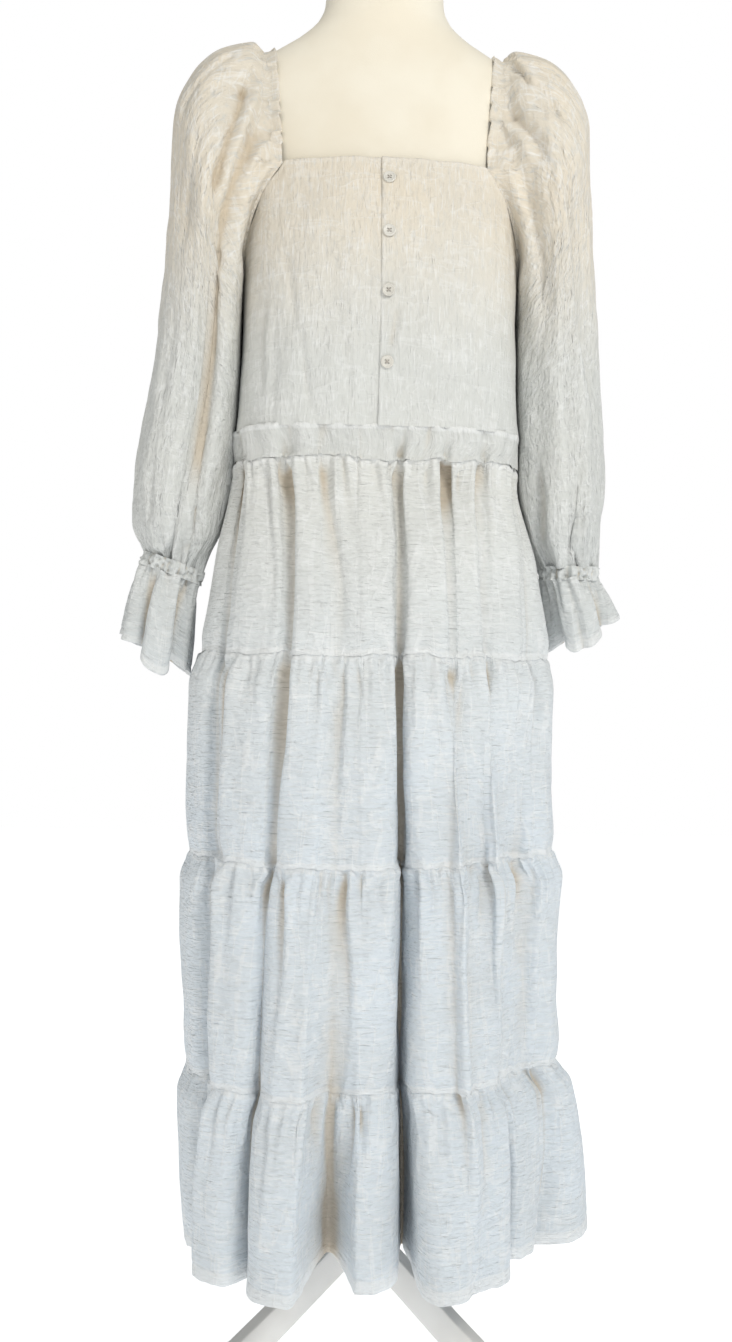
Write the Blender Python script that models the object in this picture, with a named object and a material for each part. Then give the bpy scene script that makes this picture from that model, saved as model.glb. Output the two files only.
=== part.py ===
# Tiered maxi dress, worn on a limbless dress form that stands on a tripod.
# Metres, +Z up, floor at z = 0, the wearer's front looks along -Y.
import math

import bmesh
import bpy
import numpy as np
from mathutils import Matrix, Vector

# Cloth thickness, the gap at every seam, and where the body's axis stands in the object's box
WALL = 0.0016
SEAM_GAP = 0.0003
AXIS_X = 0.0105
AXIS_Y = -0.0890

# Heights of the dress's edges and seams, the last of the skirt's being its hem
NECKLINE_FRONT = 1.450
NECKLINE_BACK = 1.475
UNDERARM = 1.305
BAND_TOP = 1.156
SKIRT_SEAMS = (1.122, 0.909, 0.685, 0.447, 0.250)
SIDE_SEAM_TURN = 89.9

# Stand: the pole, the hub on it, how far the legs are turned, and how thick their boards are
POLE_RADIUS = 0.015
POLE_SIDES = 16
HUB_SIDES = 6
HUB_BOTTOM = 0.222
HUB_TOP = 0.300
HUB_HALF = 0.025
STAND_TURN = -3.0
LEG_THICK = 0.018
LEG_HEADINGS = (("back", 90.0), ("left", 210.0), ("right", 330.0))
# Leg board from the hub outwards: distance from the pole, and the heights of its lower and upper edge
LEG_EDGES = (
    (0.0000, 0.2250, 0.2680),
    (0.1200, 0.1364, 0.1790),
    (0.1600, 0.1110, 0.1515),
    (0.3820, 0.0000, 0.0390),
    (0.4100, 0.0000, 0.0250),
)

# Buttons and the lapped front edge; the profile's columns are radius and height
BUTTON_HEIGHTS = (1.425, 1.362, 1.297, 1.221)
BUTTON_X = 0.0030
BUTTON_SIDES = 14
BUTTON_HOLE_RADIUS = 0.0009
BUTTON_HOLE_STEP = 0.0015
BUTTON_HOLE_SIDES = 6
BUTTON_DRILL_REACH = 0.005
BUTTON_PROFILE = ((0.0064, 0.0), (0.0070, 0.0014), (0.0062, 0.0026), (0.0050, 0.0026), (0.0045, 0.0019))
PLACKET_EDGE = -0.0045
PLACKET_UNDER = 0.0130
LAP_START = 0.034
LAP_RAMP = 0.022

# Skirt outline: height, reach to the viewer's left and right, to the front and back, and squareness
SKIRT_OUTLINE = (
    (1.156, 0.1612, 0.1598, 0.118, 0.112, 3.1),
    (1.122, 0.1612, 0.1596, 0.107, 0.106, 3.0),
    (1.020, 0.1800, 0.1830, 0.137, 0.135, 2.6),
    (0.909, 0.2010, 0.2030, 0.160, 0.158, 2.4),
    (0.870, 0.2095, 0.2072, 0.165, 0.165, 2.4),
    (0.800, 0.2105, 0.2073, 0.170, 0.172, 2.3),
    (0.685, 0.2090, 0.2125, 0.176, 0.180, 2.3),
    (0.655, 0.2140, 0.2195, 0.180, 0.184, 2.3),
    (0.560, 0.2120, 0.2170, 0.183, 0.188, 2.2),
    (0.447, 0.2085, 0.2220, 0.189, 0.193, 2.2),
    (0.415, 0.2150, 0.2380, 0.193, 0.197, 2.2),
    (0.340, 0.2110, 0.2500, 0.200, 0.203, 2.2),
    (0.250, 0.2020, 0.2580, 0.211, 0.208, 2.2),
)

# Skirt folds: five turns from the front in degrees, at the waist, each seam and the hem, then five depths
# in millimetres there, and how wide the fold's bottom opens
SKIRT_FOLDS = (
    (-86, -84, -88, -94, -104, 3, 6, 9, 14, 30, 1.0),
    (-64, -56, -58, -60, -65, 5, 14, 20, 26, 46, 1.0),
    (-37, -28, -31, -36, -42, 7, 14, 20, 28, 46, 1.0),
    (-19, -11, -11, -11, -12, 3, 8, 14, 50, 140, 2.3),
    (8, 6, 8, 9, 10, 9, 24, 76, 108, 155, 1.0),
    (25, 22, 24, 26, 24, 5, 9, 5, 4, 6, 1.0),
    (41, 34, 37, 42, 38, 6, 10, 10, 36, 88, 1.0),
    (70, 56, 60, 66, 59, 5, 10, 14, 24, 56, 1.0),
    (98, 94, 98, 106, 114, 4, 8, 14, 22, 44, 1.0),
    (128, 122, 126, 132, 138, 6, 14, 20, 30, 60, 1.2),
    (158, 152, 156, 160, 164, 7, 12, 18, 26, 52, 1.0),
    (190, 186, 188, 192, 194, 8, 16, 24, 40, 76, 1.3),
    (230, 226, 228, 230, 226, 6, 12, 18, 28, 56, 1.0),
)
# How far the lobe after each fold lies inside the outline, in millimetres, at the same heights
SKIRT_LOBES = (
    (0, 0, 0, 0, 0),
    (0, 0, 0, -4, -13),
    (0, 0, 0, -6, -12),
    (0, 0, 5, 32, 34),
    (0, 4, 24, 20, -9),
    (0, 6, 30, 24, 10),
    (0, 8, 32, 34, 46),
    (0, 0, 0, 0, 0),
    (0, 0, 0, 0, 8),
    (0, 0, 0, 0, 0),
    (0, 0, 0, 6, 14),
    (0, 0, 0, 0, 0),
    (0, 0, 4, 8, 12),
)
# How much higher the skirt's seams and hem lie at the viewer's right side than in the middle
SKIRT_RISE = ((1.156, 0.0), (0.909, 0.0), (0.685, 0.007), (0.447, 0.009), (0.250, 0.016))
# Columns of each fold and where they lie as shares of the way to the next one, then the shape of a trough
FOLD_COLUMNS = 6
FOLD_BOTTOM = 0.04
FOLD_FLANK = 0.13
FOLD_CROWN = 0.38
TURN_NUDGE = 0.02
FOLD_REACH = 1.35
FOLD_POWER = 2.2
# Small gathers under the seams and the pull of a seam; a tier's rows give the share of the way down, the
# gathers, and how much of the upper and the lower seam's pull is left
GATHER_DEPTH = 0.0042
BAND_GATHER = 0.25
SEAM_TUCK = 0.0045
TIER_ROWS = (
    (0.00, 0.45, 1.0, 0.0),
    (0.09, 1.00, 0.0, 0.0),
    (0.38, 0.55, 0.0, 0.0),
    (0.72, 0.20, 0.0, 0.0),
    (1.00, 0.30, 0.0, 1.0),
)

# Bodice outline: height, half width, reach to the front and back, and squareness
BODICE_OUTLINE = (
    (1.156, 0.1600, 0.119, 0.112, 3.0),
    (1.180, 0.1580, 0.125, 0.110, 2.8),
    (1.240, 0.1560, 0.129, 0.105, 2.6),
    (1.305, 0.1555, 0.130, 0.102, 2.5),
    (1.362, 0.1550, 0.123, 0.103, 2.5),
    (1.425, 0.1545, 0.1045, 0.102, 2.4),
    (1.500, 0.1590, 0.081, 0.092, 2.4),
)

# Dress form: height, half width, reach to the front and back, and squareness
FORM_OUTLINE = (
    (0.860, 0.1640, 0.098, 0.112, 2.3),
    (0.920, 0.1660, 0.099, 0.116, 2.3),
    (1.000, 0.1540, 0.095, 0.104, 2.3),
    (1.060, 0.1360, 0.088, 0.090, 2.2),
    (1.130, 0.1180, 0.082, 0.080, 2.2),
    (1.200, 0.1240, 0.092, 0.084, 2.3),
    (1.270, 0.1360, 0.114, 0.090, 2.3),
    (1.330, 0.1420, 0.119, 0.094, 2.3),
    (1.390, 0.1460, 0.109, 0.096, 2.4),
    (1.450, 0.1500, 0.0915, 0.0935, 2.4),
    (1.510, 0.1580, 0.0750, 0.0850, 2.3),
    (1.550, 0.1640, 0.064, 0.076, 2.2),
    (1.575, 0.1560, 0.058, 0.070, 2.1),
    (1.596, 0.1300, 0.054, 0.066, 2.0),
    (1.615, 0.0990, 0.052, 0.063, 2.0),
    (1.635, 0.0770, 0.052, 0.061, 2.0),
    (1.655, 0.0685, 0.053, 0.060, 2.0),
    (1.720, 0.0655, 0.055, 0.060, 2.0),
)
FORM_BOTTOM = FORM_OUTLINE[0][0]
FORM_COLUMNS = 32
FORM_EXTRA_HEIGHTS = (1.300, 1.360, 1.420, 1.480, 1.5875)
FORM_CAP_SHARE = 0.82
FORM_CAP_RISE = 0.006
SHOULDER_LINE_RANGE = (1.575, 1.650)
HALVINGS = 40
NORMAL_NUDGE = 0.001

# Raglan seam: share of the way from the underarm to the neckline, then the height and the distance from the
# middle there, as shares of the rise and of the bodice's half width
RAGLAN = (
    (0.00, 0.00, 1.0000),
    (0.25, 0.22, 0.9960),
    (0.50, 0.47, 0.9700),
    (0.75, 0.75, 0.8800),
    (1.00, 1.00, 0.7130),
)
NECK_COLUMNS = 4
QUARTER_COLUMNS = 8
BODICE_ROWS = 6
WAIST_CORNER_TURN = 38.0

# The sleeve's neck edge over the shoulder, lifted off the form, and its gathered casing
CASING_HEIGHT = 0.011
STRAP_TOP_X = 0.1236
STRAP_LIFT_CORNER = 0.0040
STRAP_LIFT_TOP = 0.0014

# Sleeve rings, viewer's right: inner x and z, outer x and z, reach to the front and back
SLEEVE_HEAD = (
    (0.1616, 1.2990, 0.1500, 1.6110, 0.088, 0.088),
    (0.1622, 1.2930, 0.1860, 1.6010, 0.100, 0.098),
    (0.1624, 1.2850, 0.2150, 1.5760, 0.106, 0.102),
    (0.1622, 1.2740, 0.2350, 1.5300, 0.104, 0.100),
    (0.1618, 1.2550, 0.2395, 1.4620, 0.096, 0.096),
    (0.1616, 1.2200, 0.2450, 1.3700, 0.087, 0.088),
    (0.1640, 1.1700, 0.2555, 1.2500, 0.078, 0.080),
)
SLEEVE_END = {
    -1: (
        (0.1735, 1.1130, 0.2740, 1.1280, 0.070, 0.070),
        (0.1865, 1.0500, 0.2765, 1.0640, 0.058, 0.058),
        (0.1965, 0.9995, 0.2655, 1.0225, 0.036, 0.036),
    ),
    1: (
        (0.1725, 1.1080, 0.2640, 1.1200, 0.070, 0.070),
        (0.1850, 1.0540, 0.2615, 1.0600, 0.056, 0.056),
        (0.1940, 1.0135, 0.2610, 1.0140, 0.036, 0.036),
    ),
}
RUFFLE_END = {
    -1: (0.2110, 0.8870, 0.2890, 0.9240, 0.048, 0.048),
    1: (0.2090, 0.9220, 0.2840, 0.9540, 0.046, 0.046),
}
RUFFLE_ROWS = (0.0, 0.16, 0.55, 1.0)
RUFFLE_FLARE = 0.8
RUFFLE_WAVES = 7
RUFFLE_COLUMNS = 42
RUFFLE_WAVE_DEPTH = 0.0075
RUFFLE_WAVE_GROWTH = 0.7
RUFFLE_WAVE_START = {-1: 0.4, 1: 1.2}
WRIST_GATHER = 0.0022
ELBOW = 0.55
SEAM_STEP_AWAY = 0.002
SEAM_STEP_OUT = 0.003
CASING_LIFT = 0.0015
HEAD_GATHERS = (0.004, 0.003, 0.0015)

# Sleeve folds: three shares of the way round, at the head, the elbow and the wrist, then three depths in
# millimetres there, and the half width as a share of the way round
SLEEVE_FOLDS = {
    -1: (
        (0.34, 0.27, 0.30, 9, 3, 2, 0.035),
        (0.17, 0.21, 0.24, 8, 9, 6, 0.035),
        (0.08, 0.09, 0.12, 4, 5, 4, 0.035),
        (0.45, 0.42, 0.40, 4, 3, 5, 0.035),
        (0.62, 0.64, 0.62, 6, 7, 5, 0.040),
        (0.80, 0.78, 0.76, 6, 6, 4, 0.040),
    ),
    1: (
        (0.33, 0.34, 0.37, 7, 6, 3, 0.035),
        (0.19, 0.17, 0.12, 5, 4, 6, 0.035),
        (0.26, 0.26, 0.25, 4, 2, 5, 0.030),
        (0.43, 0.44, 0.45, 3, 3, 4, 0.030),
        (0.60, 0.63, 0.64, 6, 6, 5, 0.040),
        (0.82, 0.80, 0.78, 6, 7, 4, 0.040),
    ),
}

# Angle in degrees from which edges are shaded sharp, and each material's colour, roughness and metallic value
SHARP_ANGLE = 40.0
FINISHES = {
    "gauze": ((0.86, 0.86, 0.85), 0.85, 0.0),
    "button_white": ((0.90, 0.90, 0.89), 0.30, 0.0),
    "form_cover": ((0.88, 0.84, 0.73), 0.80, 0.0),
    "stand_paint": ((0.72, 0.73, 0.72), 0.45, 0.0),
}


def smooth_step(value):
    """A soft 0 to 1 ramp."""
    share = np.clip(value, 0.0, 1.0)
    return share * share * (3.0 - 2.0 * share)


def read_table(rows, key):
    """Read a table's columns at a key, with a smooth curve that never overshoots its rows."""
    table = np.array(sorted(rows), dtype=float)
    keys = table[:, 0]
    values = table[:, 1:]
    steps = np.diff(keys)[:, None]
    slopes = np.diff(values, axis=0) / steps
    tangents = np.zeros_like(values)
    tangents[0] = slopes[0]
    tangents[-1] = slopes[-1]
    same_way = slopes[:-1] * slopes[1:] > 0.0
    total = slopes[:-1] + slopes[1:]
    total[~same_way] = 1.0
    tangents[1:-1] = np.where(same_way, 2.0 * slopes[:-1] * slopes[1:] / total, 0.0)
    key = float(np.clip(key, keys[0], keys[-1]))
    i = int(np.clip(np.searchsorted(keys, key) - 1, 0, len(keys) - 2))
    step = keys[i + 1] - keys[i]
    t = (key - keys[i]) / step
    blend = t * t * (3.0 - 2.0 * t)
    start_bend = step * t * (1.0 - t) ** 2
    end_bend = step * t * t * (t - 1.0)
    curve = values[i] * (1.0 - blend) + values[i + 1] * blend
    return curve + tangents[i] * start_bend + tangents[i + 1] * end_bend


def section_point(left, right, front, back, square, turn):
    """A point of a rounded-square section; turn is in radians from the front towards the viewer's right."""
    across = math.sin(turn)
    along = math.cos(turn)
    reach = (abs(across) ** square + abs(along) ** square) ** (-1.0 / square)
    x = across * reach * (right if across > 0.0 else left)
    y = -along * reach * (front if along > 0.0 else back)
    return np.array((x, y))


def unit(vectors):
    """Vectors scaled to length 1."""
    return vectors / np.maximum(np.linalg.norm(vectors, axis=-1, keepdims=True), 1e-9)


def drop_axis(vectors, axis):
    """Vectors without their part along an axis."""
    axis = unit(np.asarray(axis, dtype=float))
    return unit(vectors - (vectors * axis).sum(axis=-1, keepdims=True) * axis)


def cloth_normals(grid, closed):
    """Outward directions of a grid whose rows run down, and how far a wall's faces move at each bend."""
    after = np.roll(grid, -1, axis=1) - grid
    before = grid - np.roll(grid, 1, axis=1)
    if not closed:
        after[:, -1] = before[:, -1]
        before[:, 0] = after[:, 0]
    down = np.gradient(grid, axis=0)
    normal_before = unit(np.cross(down, before))
    normal_after = unit(np.cross(down, after))
    normal = unit(normal_before + normal_after)
    bend = np.clip((normal * normal_before).sum(axis=-1, keepdims=True), 0.5, 1.0)
    return normal, 1.0 / bend


def wall_mesh(grid, closed, mirrored=False, top=None, bottom=None, sides=None, top_normals=None):
    """Close a grid of points into a wall: its outer and inner face and its rims, as points and triangles."""
    normal, stretch = cloth_normals(grid, closed)
    if top is not None:
        normal[0] = drop_axis(normal[0], top)
    if bottom is not None:
        normal[-1] = drop_axis(normal[-1], bottom)
    if sides is not None:
        normal[:, 0] = drop_axis(normal[:, 0], sides[0])
        normal[:, -1] = drop_axis(normal[:, -1], sides[1])
    if top_normals is not None:
        for column, direction in top_normals.items():
            normal[0, column] = direction
            stretch[0, column] = 1.0
    half = normal * stretch * WALL / 2.0
    rows, columns = grid.shape[:2]
    points = np.concatenate(((grid + half).reshape(-1, 3), (grid - half).reshape(-1, 3)))
    if mirrored:
        points = points * np.array((-1.0, 1.0, 1.0))
    inner = rows * columns
    faces = []

    def quad(a, b, c, d):
        faces.append((a, b, c))
        faces.append((a, c, d))

    spans = columns if closed else columns - 1
    for row in range(rows - 1):
        for column in range(spans):
            a = row * columns + column
            b = row * columns + (column + 1) % columns
            quad(a, a + columns, b + columns, b)
            quad(inner + a, inner + b, inner + b + columns, inner + a + columns)
    last = (rows - 1) * columns
    for column in range(spans):
        a = column
        b = (column + 1) % columns
        quad(a, b, inner + b, inner + a)
        quad(last + b, last + a, inner + last + a, inner + last + b)
    if not closed:
        for row in range(rows - 1):
            a = row * columns
            b = a + columns - 1
            quad(a, inner + a, inner + a + columns, a + columns)
            quad(b + columns, inner + b + columns, inner + b, b)
    if mirrored:
        faces = [face[::-1] for face in faces]
    return points, faces


def make_material(name):
    """A plain Principled material from the finish table."""
    colour, roughness, metallic = FINISHES[name]
    material = bpy.data.materials.new(name)
    material.use_nodes = True
    shader = material.node_tree.nodes["Principled BSDF"]
    shader.inputs["Base Color"].default_value = (*colour, 1.0)
    shader.inputs["Roughness"].default_value = roughness
    shader.inputs["Metallic"].default_value = metallic
    return material


def add_object(name, points, faces, material):
    """Add one named solid, moved from the body's axis to the stand's footprint."""
    mesh = bpy.data.meshes.new(name)
    moved = [(float(x) + AXIS_X, float(y) + AXIS_Y, float(z)) for x, y, z in points]
    mesh.from_pydata(moved, [], faces)
    mesh.materials.append(material)
    mesh.shade_smooth()
    mesh.set_sharp_from_angle(angle=math.radians(SHARP_ANGLE))
    part = bpy.data.objects.new(name, mesh)
    bpy.context.scene.collection.objects.link(part)
    return part


def stacked_rings(rings):
    """Close a stack of equal rings, first one lowest, with a fan at each end."""
    count = len(rings[0])
    points = np.concatenate(rings)
    faces = []
    for row in range(len(rings) - 1):
        for column in range(count):
            a = row * count + column
            b = row * count + (column + 1) % count
            faces.append((a, b, b + count))
            faces.append((a, b + count, a + count))
    top = (len(rings) - 1) * count
    for column in range(1, count - 1):
        faces.append((0, column + 1, column))
        faces.append((top, top + column, top + column + 1))
    return points, faces


def fold_settings(height):
    """Each skirt fold's turn, depth and openness, and the set back of the lobe after it, at a height."""
    keys = (BAND_TOP, *SKIRT_SEAMS[1:])
    rows = []
    for fold, lobe in zip(SKIRT_FOLDS, SKIRT_LOBES):
        levels = [(key, *values) for key, *values in zip(keys, fold[:5], fold[5:10], lobe)]
        rows.append((*read_table(levels, height), fold[10]))
    turns, depths, backs, opens = np.array(rows).T
    return np.radians(turns), depths * 0.001, backs * 0.001, opens


def skirt_turns(turns, opens):
    """The turn of each skirt column, FOLD_COLUMNS to a fold, close together at the fold's bottom."""
    gaps = np.diff(np.append(turns, turns[0] + 2.0 * math.pi))
    columns = []
    for fold, turn in enumerate(turns):
        after = (fold + 1) % len(turns)
        columns.append(turn - FOLD_BOTTOM * opens[fold] * gaps[fold - 1])
        columns.append(turn + FOLD_BOTTOM * opens[fold] * gaps[fold])
        columns.append(turn + FOLD_FLANK * opens[fold] * gaps[fold])
        columns.append(turn + FOLD_CROWN * gaps[fold])
        columns.append(turn + (1.0 - FOLD_CROWN) * gaps[fold])
        columns.append(turn + (1.0 - FOLD_FLANK * opens[after]) * gaps[fold])
    return np.array(columns)


def skirt_ring(height, gather, tuck):
    """One ring of the skirt at a height, with its folds, its gathers and the pull of a seam."""
    left, right, front, back, square = read_table(SKIRT_OUTLINE, height)
    turns, depths, backs, opens = fold_settings(height)
    rise = read_table(SKIRT_RISE, height)[0]
    columns = skirt_turns(turns, opens)
    count = len(columns)
    ring = []
    for column, turn in enumerate(columns):
        away = (column - 0.5 - FOLD_COLUMNS * np.arange(len(turns)) + count / 2.0) % count - count / 2.0
        troughs = np.exp(-(np.abs(away) / FOLD_REACH) ** FOLD_POWER)
        lobe = int((column - 0.5) // FOLD_COLUMNS) % len(turns)
        depth = (depths * troughs).sum() + backs[lobe] * max(1.0 - troughs.sum(), 0.0)
        depth += gather * GATHER_DEPTH * (column % 2) + tuck * SEAM_TUCK
        spot = section_point(left, right, front, back, square, turn)
        ahead = section_point(left, right, front, back, square, turn + TURN_NUDGE)
        along = ahead - section_point(left, right, front, back, square, turn - TURN_NUDGE)
        straight = unit(np.array((along[1] * abs(along[1]), -along[0] * np.linalg.norm(along))))
        x, y = spot - depth * straight
        ring.append((x, y, height + rise * np.clip(x / right, 0.0, 1.0)))
    return np.array(ring)


def waistband():
    """The gathered band between the bodice and the skirt."""
    rows = []
    for height in (BAND_TOP - SEAM_GAP / 2.0, SKIRT_SEAMS[0] + SEAM_GAP / 2.0):
        rows.append(skirt_ring(height, BAND_GATHER, 0.0))
    return wall_mesh(np.array(rows), True, top=(0, 0, 1), bottom=(0, 0, 1))


def skirt_tier(number):
    """One tier, numbered from the waist: gathered and tucked at its top seam, and pulled in at the next."""
    first = number == 0
    last = number == len(SKIRT_SEAMS) - 2
    top = SKIRT_SEAMS[number] - SEAM_GAP / 2.0
    bottom = SKIRT_SEAMS[number + 1] + (0.0 if last else SEAM_GAP / 2.0)
    rows = []
    for share, gather, upper_pull, lower_pull in TIER_ROWS:
        if last and share == 1.0:
            gather = 0.0
        tuck = upper_pull * (not first) + lower_pull * (not last)
        rows.append(skirt_ring(top + (bottom - top) * share, gather, tuck))
    return wall_mesh(np.array(rows), True, top=(0, 0, 1), bottom=(0, 0, 1))


def bodice_point(turn, height):
    """A point of the bodice's middle surface."""
    half, front, back, square = read_table(BODICE_OUTLINE, height)
    x, y = section_point(half, half, front, back, square, turn)
    return np.array((x, y, height))


def turn_at(half, square, x):
    """The turn at which a section with this half width reaches x."""
    across = min(x / half, 1.0)
    along = (1.0 - across ** square) ** (1.0 / square)
    return math.atan2(across, along)


def raglan_spot(share, neckline):
    """Turn and height of a point of the raglan seam, by share from the underarm to the neckline."""
    rise, reach = read_table(RAGLAN, share)
    height = UNDERARM + (neckline - UNDERARM) * rise
    half, _, _, square = read_table(BODICE_OUTLINE, height)
    return turn_at(half, square, half * reach), height


def panel_grid(neckline, start_turn, seam_turn):
    """Half a bodice panel from the middle to the side seam, rows running down from its shaped top edge."""
    tops = []
    corner_turn, _ = raglan_spot(1.0, neckline)
    for column in range(NECK_COLUMNS):
        share = column / NECK_COLUMNS
        turn = start_turn + (corner_turn - start_turn) * share
        tops.append((turn, neckline, start_turn + (math.radians(WAIST_CORNER_TURN) - start_turn) * share))
    for column in range(QUARTER_COLUMNS + 1):
        share = column / QUARTER_COLUMNS
        turn, height = raglan_spot(1.0 - share, neckline)
        low_turn = math.radians(WAIST_CORNER_TURN) + (seam_turn - math.radians(WAIST_CORNER_TURN)) * share
        tops.append((min(turn, seam_turn), height, low_turn))
    bottom = BAND_TOP + SEAM_GAP / 2.0
    grid = np.zeros((BODICE_ROWS + 1, len(tops), 3))
    for column, (turn, height, low_turn) in enumerate(tops):
        for row in range(BODICE_ROWS + 1):
            share = row / BODICE_ROWS
            spot_turn = turn + (low_turn - turn) * share
            grid[row, column] = bodice_point(spot_turn, height + (bottom - height) * share)
    return grid


def bodice_front(side):
    """A front half: the viewer's right one is lapped over the left one at the buttons."""
    seam_turn = math.radians(SIDE_SEAM_TURN)
    half, _, _, square = read_table(BODICE_OUTLINE, UNDERARM)
    middle = PLACKET_EDGE if side > 0 else -PLACKET_UNDER
    start_turn = math.copysign(turn_at(half, square, abs(middle)), middle)
    grid = panel_grid(NECKLINE_FRONT, start_turn, seam_turn)
    if side < 0:
        sunk = smooth_step((LAP_START - grid[..., 0]) / LAP_RAMP) * (WALL + 2.0 * SEAM_GAP)
        grid[..., 1] += sunk
    return wall_mesh(grid, False, mirrored=side < 0, bottom=(0, 0, 1), sides=((1, 0, 0), (0, 1, 0)))


def bodice_back():
    """The back in one piece, from side seam to side seam."""
    seam_turn = math.radians(SIDE_SEAM_TURN)
    half = panel_grid(NECKLINE_BACK, 0.0, seam_turn)
    for row in half:
        for point in row:
            _, front, back, _ = read_table(BODICE_OUTLINE, point[2])
            point[1] *= -back / front
    other = half[:, :0:-1] * np.array((-1.0, 1.0, 1.0))
    grid = np.concatenate((other, half), axis=1)[:, ::-1]
    return wall_mesh(grid, False, bottom=(0, 0, 1), sides=((0, 1, 0), (0, 1, 0)))


def surface_frame(surface, turn, height):
    """A surface's point and outward direction at a turn and height."""
    spot = surface(turn, height)
    along = surface(turn + NORMAL_NUDGE, height) - surface(turn - NORMAL_NUDGE, height)
    up = surface(turn, height + NORMAL_NUDGE) - surface(turn, height - NORMAL_NUDGE)
    return spot, unit(np.cross(along, up))


def back_of(surface_spot, outward, front, back):
    """Turn a point and direction of a front surface to the back, whose reach differs."""
    spot = surface_spot * np.array((1.0, -back / front, 1.0))
    direction = unit(outward * np.array((1.0, -front / back, 1.0)))
    return spot, direction


def form_point(turn, height):
    """A point of the dress form's surface."""
    half, front, back, square = read_table(FORM_OUTLINE, height)
    x, y = section_point(half, half, front, back, square, turn)
    return np.array((x, y, height))


def strap_spot(share):
    """A point of the sleeve's neck edge and its outward direction, from the front corner to the back one."""
    rise = math.sin(math.pi * share)
    corner_x = raglan_corner_x()
    low = NECKLINE_FRONT if share < 0.5 else NECKLINE_BACK
    x = corner_x + (STRAP_TOP_X - corner_x) * rise
    top = shoulder_height(STRAP_TOP_X)
    height = low + (top - low) * rise
    half, front, back, square = read_table(FORM_OUTLINE, height)
    turn = turn_at(half, square, x)
    spot, outward = surface_frame(form_point, turn, height)
    if share > 0.5:
        spot, outward = back_of(spot, outward, front, back)
    lift = STRAP_LIFT_CORNER + (STRAP_LIFT_TOP - STRAP_LIFT_CORNER) * rise
    return spot + outward * lift, outward


def raglan_corner_x():
    """How far the neckline's corner is from the middle."""
    half, _, _, _ = read_table(BODICE_OUTLINE, NECKLINE_FRONT)
    return half * RAGLAN[-1][2]


def shoulder_height(x):
    """The height of the form's shoulder line at a distance from the middle."""
    low, high = SHOULDER_LINE_RANGE
    for _ in range(HALVINGS):
        middle = (low + high) / 2.0
        half = read_table(FORM_OUTLINE, middle)[0]
        if half > x:
            low = middle
        else:
            high = middle
    return low


def sleeve_edge():
    """The sleeve's upper edge: up the front raglan seam, over the shoulder, and down the back one."""
    count = 4 * QUARTER_COLUMNS
    spots = []
    normals = []
    for column in range(count):
        if column <= QUARTER_COLUMNS:
            turn, height = raglan_spot(column / QUARTER_COLUMNS, NECKLINE_FRONT)
            spot, outward = surface_frame(bodice_point, turn, height)
        elif column < 3 * QUARTER_COLUMNS:
            spot, outward = strap_spot((column - QUARTER_COLUMNS) / (2 * QUARTER_COLUMNS))
        else:
            turn, height = raglan_spot((count - column) / QUARTER_COLUMNS, NECKLINE_BACK)
            spot, outward = surface_frame(bodice_point, turn, height)
            _, front, back, _ = read_table(BODICE_OUTLINE, height)
            spot, outward = back_of(spot, outward, front, back)
        spots.append(spot)
        normals.append(outward)
    spots = np.array(spots)
    normals = np.array(normals)
    tangents = np.roll(spots, -1, axis=0) - np.roll(spots, 1, axis=0)
    away = unit(np.cross(tangents, normals))
    return spots, normals, away


def ring_frame(ring):
    """A flat sleeve ring's middle, its direction across, half its width, and the axis of its plane."""
    inner = np.array((ring[0], 0.0, ring[1]))
    outer = np.array((ring[2], 0.0, ring[3]))
    across = unit(outer - inner)
    axis = np.array((-across[2], 0.0, across[0]))
    return (inner + outer) / 2.0, across, np.linalg.norm(outer - inner) / 2.0, axis


def flat_ring(ring, count, shift=0.0, pull=None):
    """Points round a sleeve ring, moved along its axis, each pulled towards the middle by its own amount."""
    middle, across, half, axis = ring_frame(ring)
    points = []
    for column in range(count):
        turn = 2.0 * math.pi * column / count
        reach = ring[4] if math.sin(turn) > 0.0 else ring[5]
        point = -across * half * math.cos(turn) + np.array((0.0, -reach * math.sin(turn), 0.0))
        if pull is not None:
            point = point * (1.0 - pull[column] / np.linalg.norm(point))
        points.append(middle + axis * shift + point)
    return np.array(points)


def sleeve_pull(side, progress, gather):
    """How far each column of a sleeve ring is pulled in by the folds and the gathers."""
    count = 4 * QUARTER_COLUMNS
    shares = np.arange(count) / count
    pull = gather * (np.arange(count) % 2)
    for fold in SLEEVE_FOLDS[side]:
        rows = [(key, fold[i], fold[3 + i]) for i, key in enumerate((0.0, ELBOW, 1.0))]
        share, depth = read_table(rows, progress)
        away = (shares - share + 0.5) % 1.0 - 0.5
        pull = pull + depth * 0.001 * np.exp(-(away / fold[6]) ** 2)
    return pull


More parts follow.
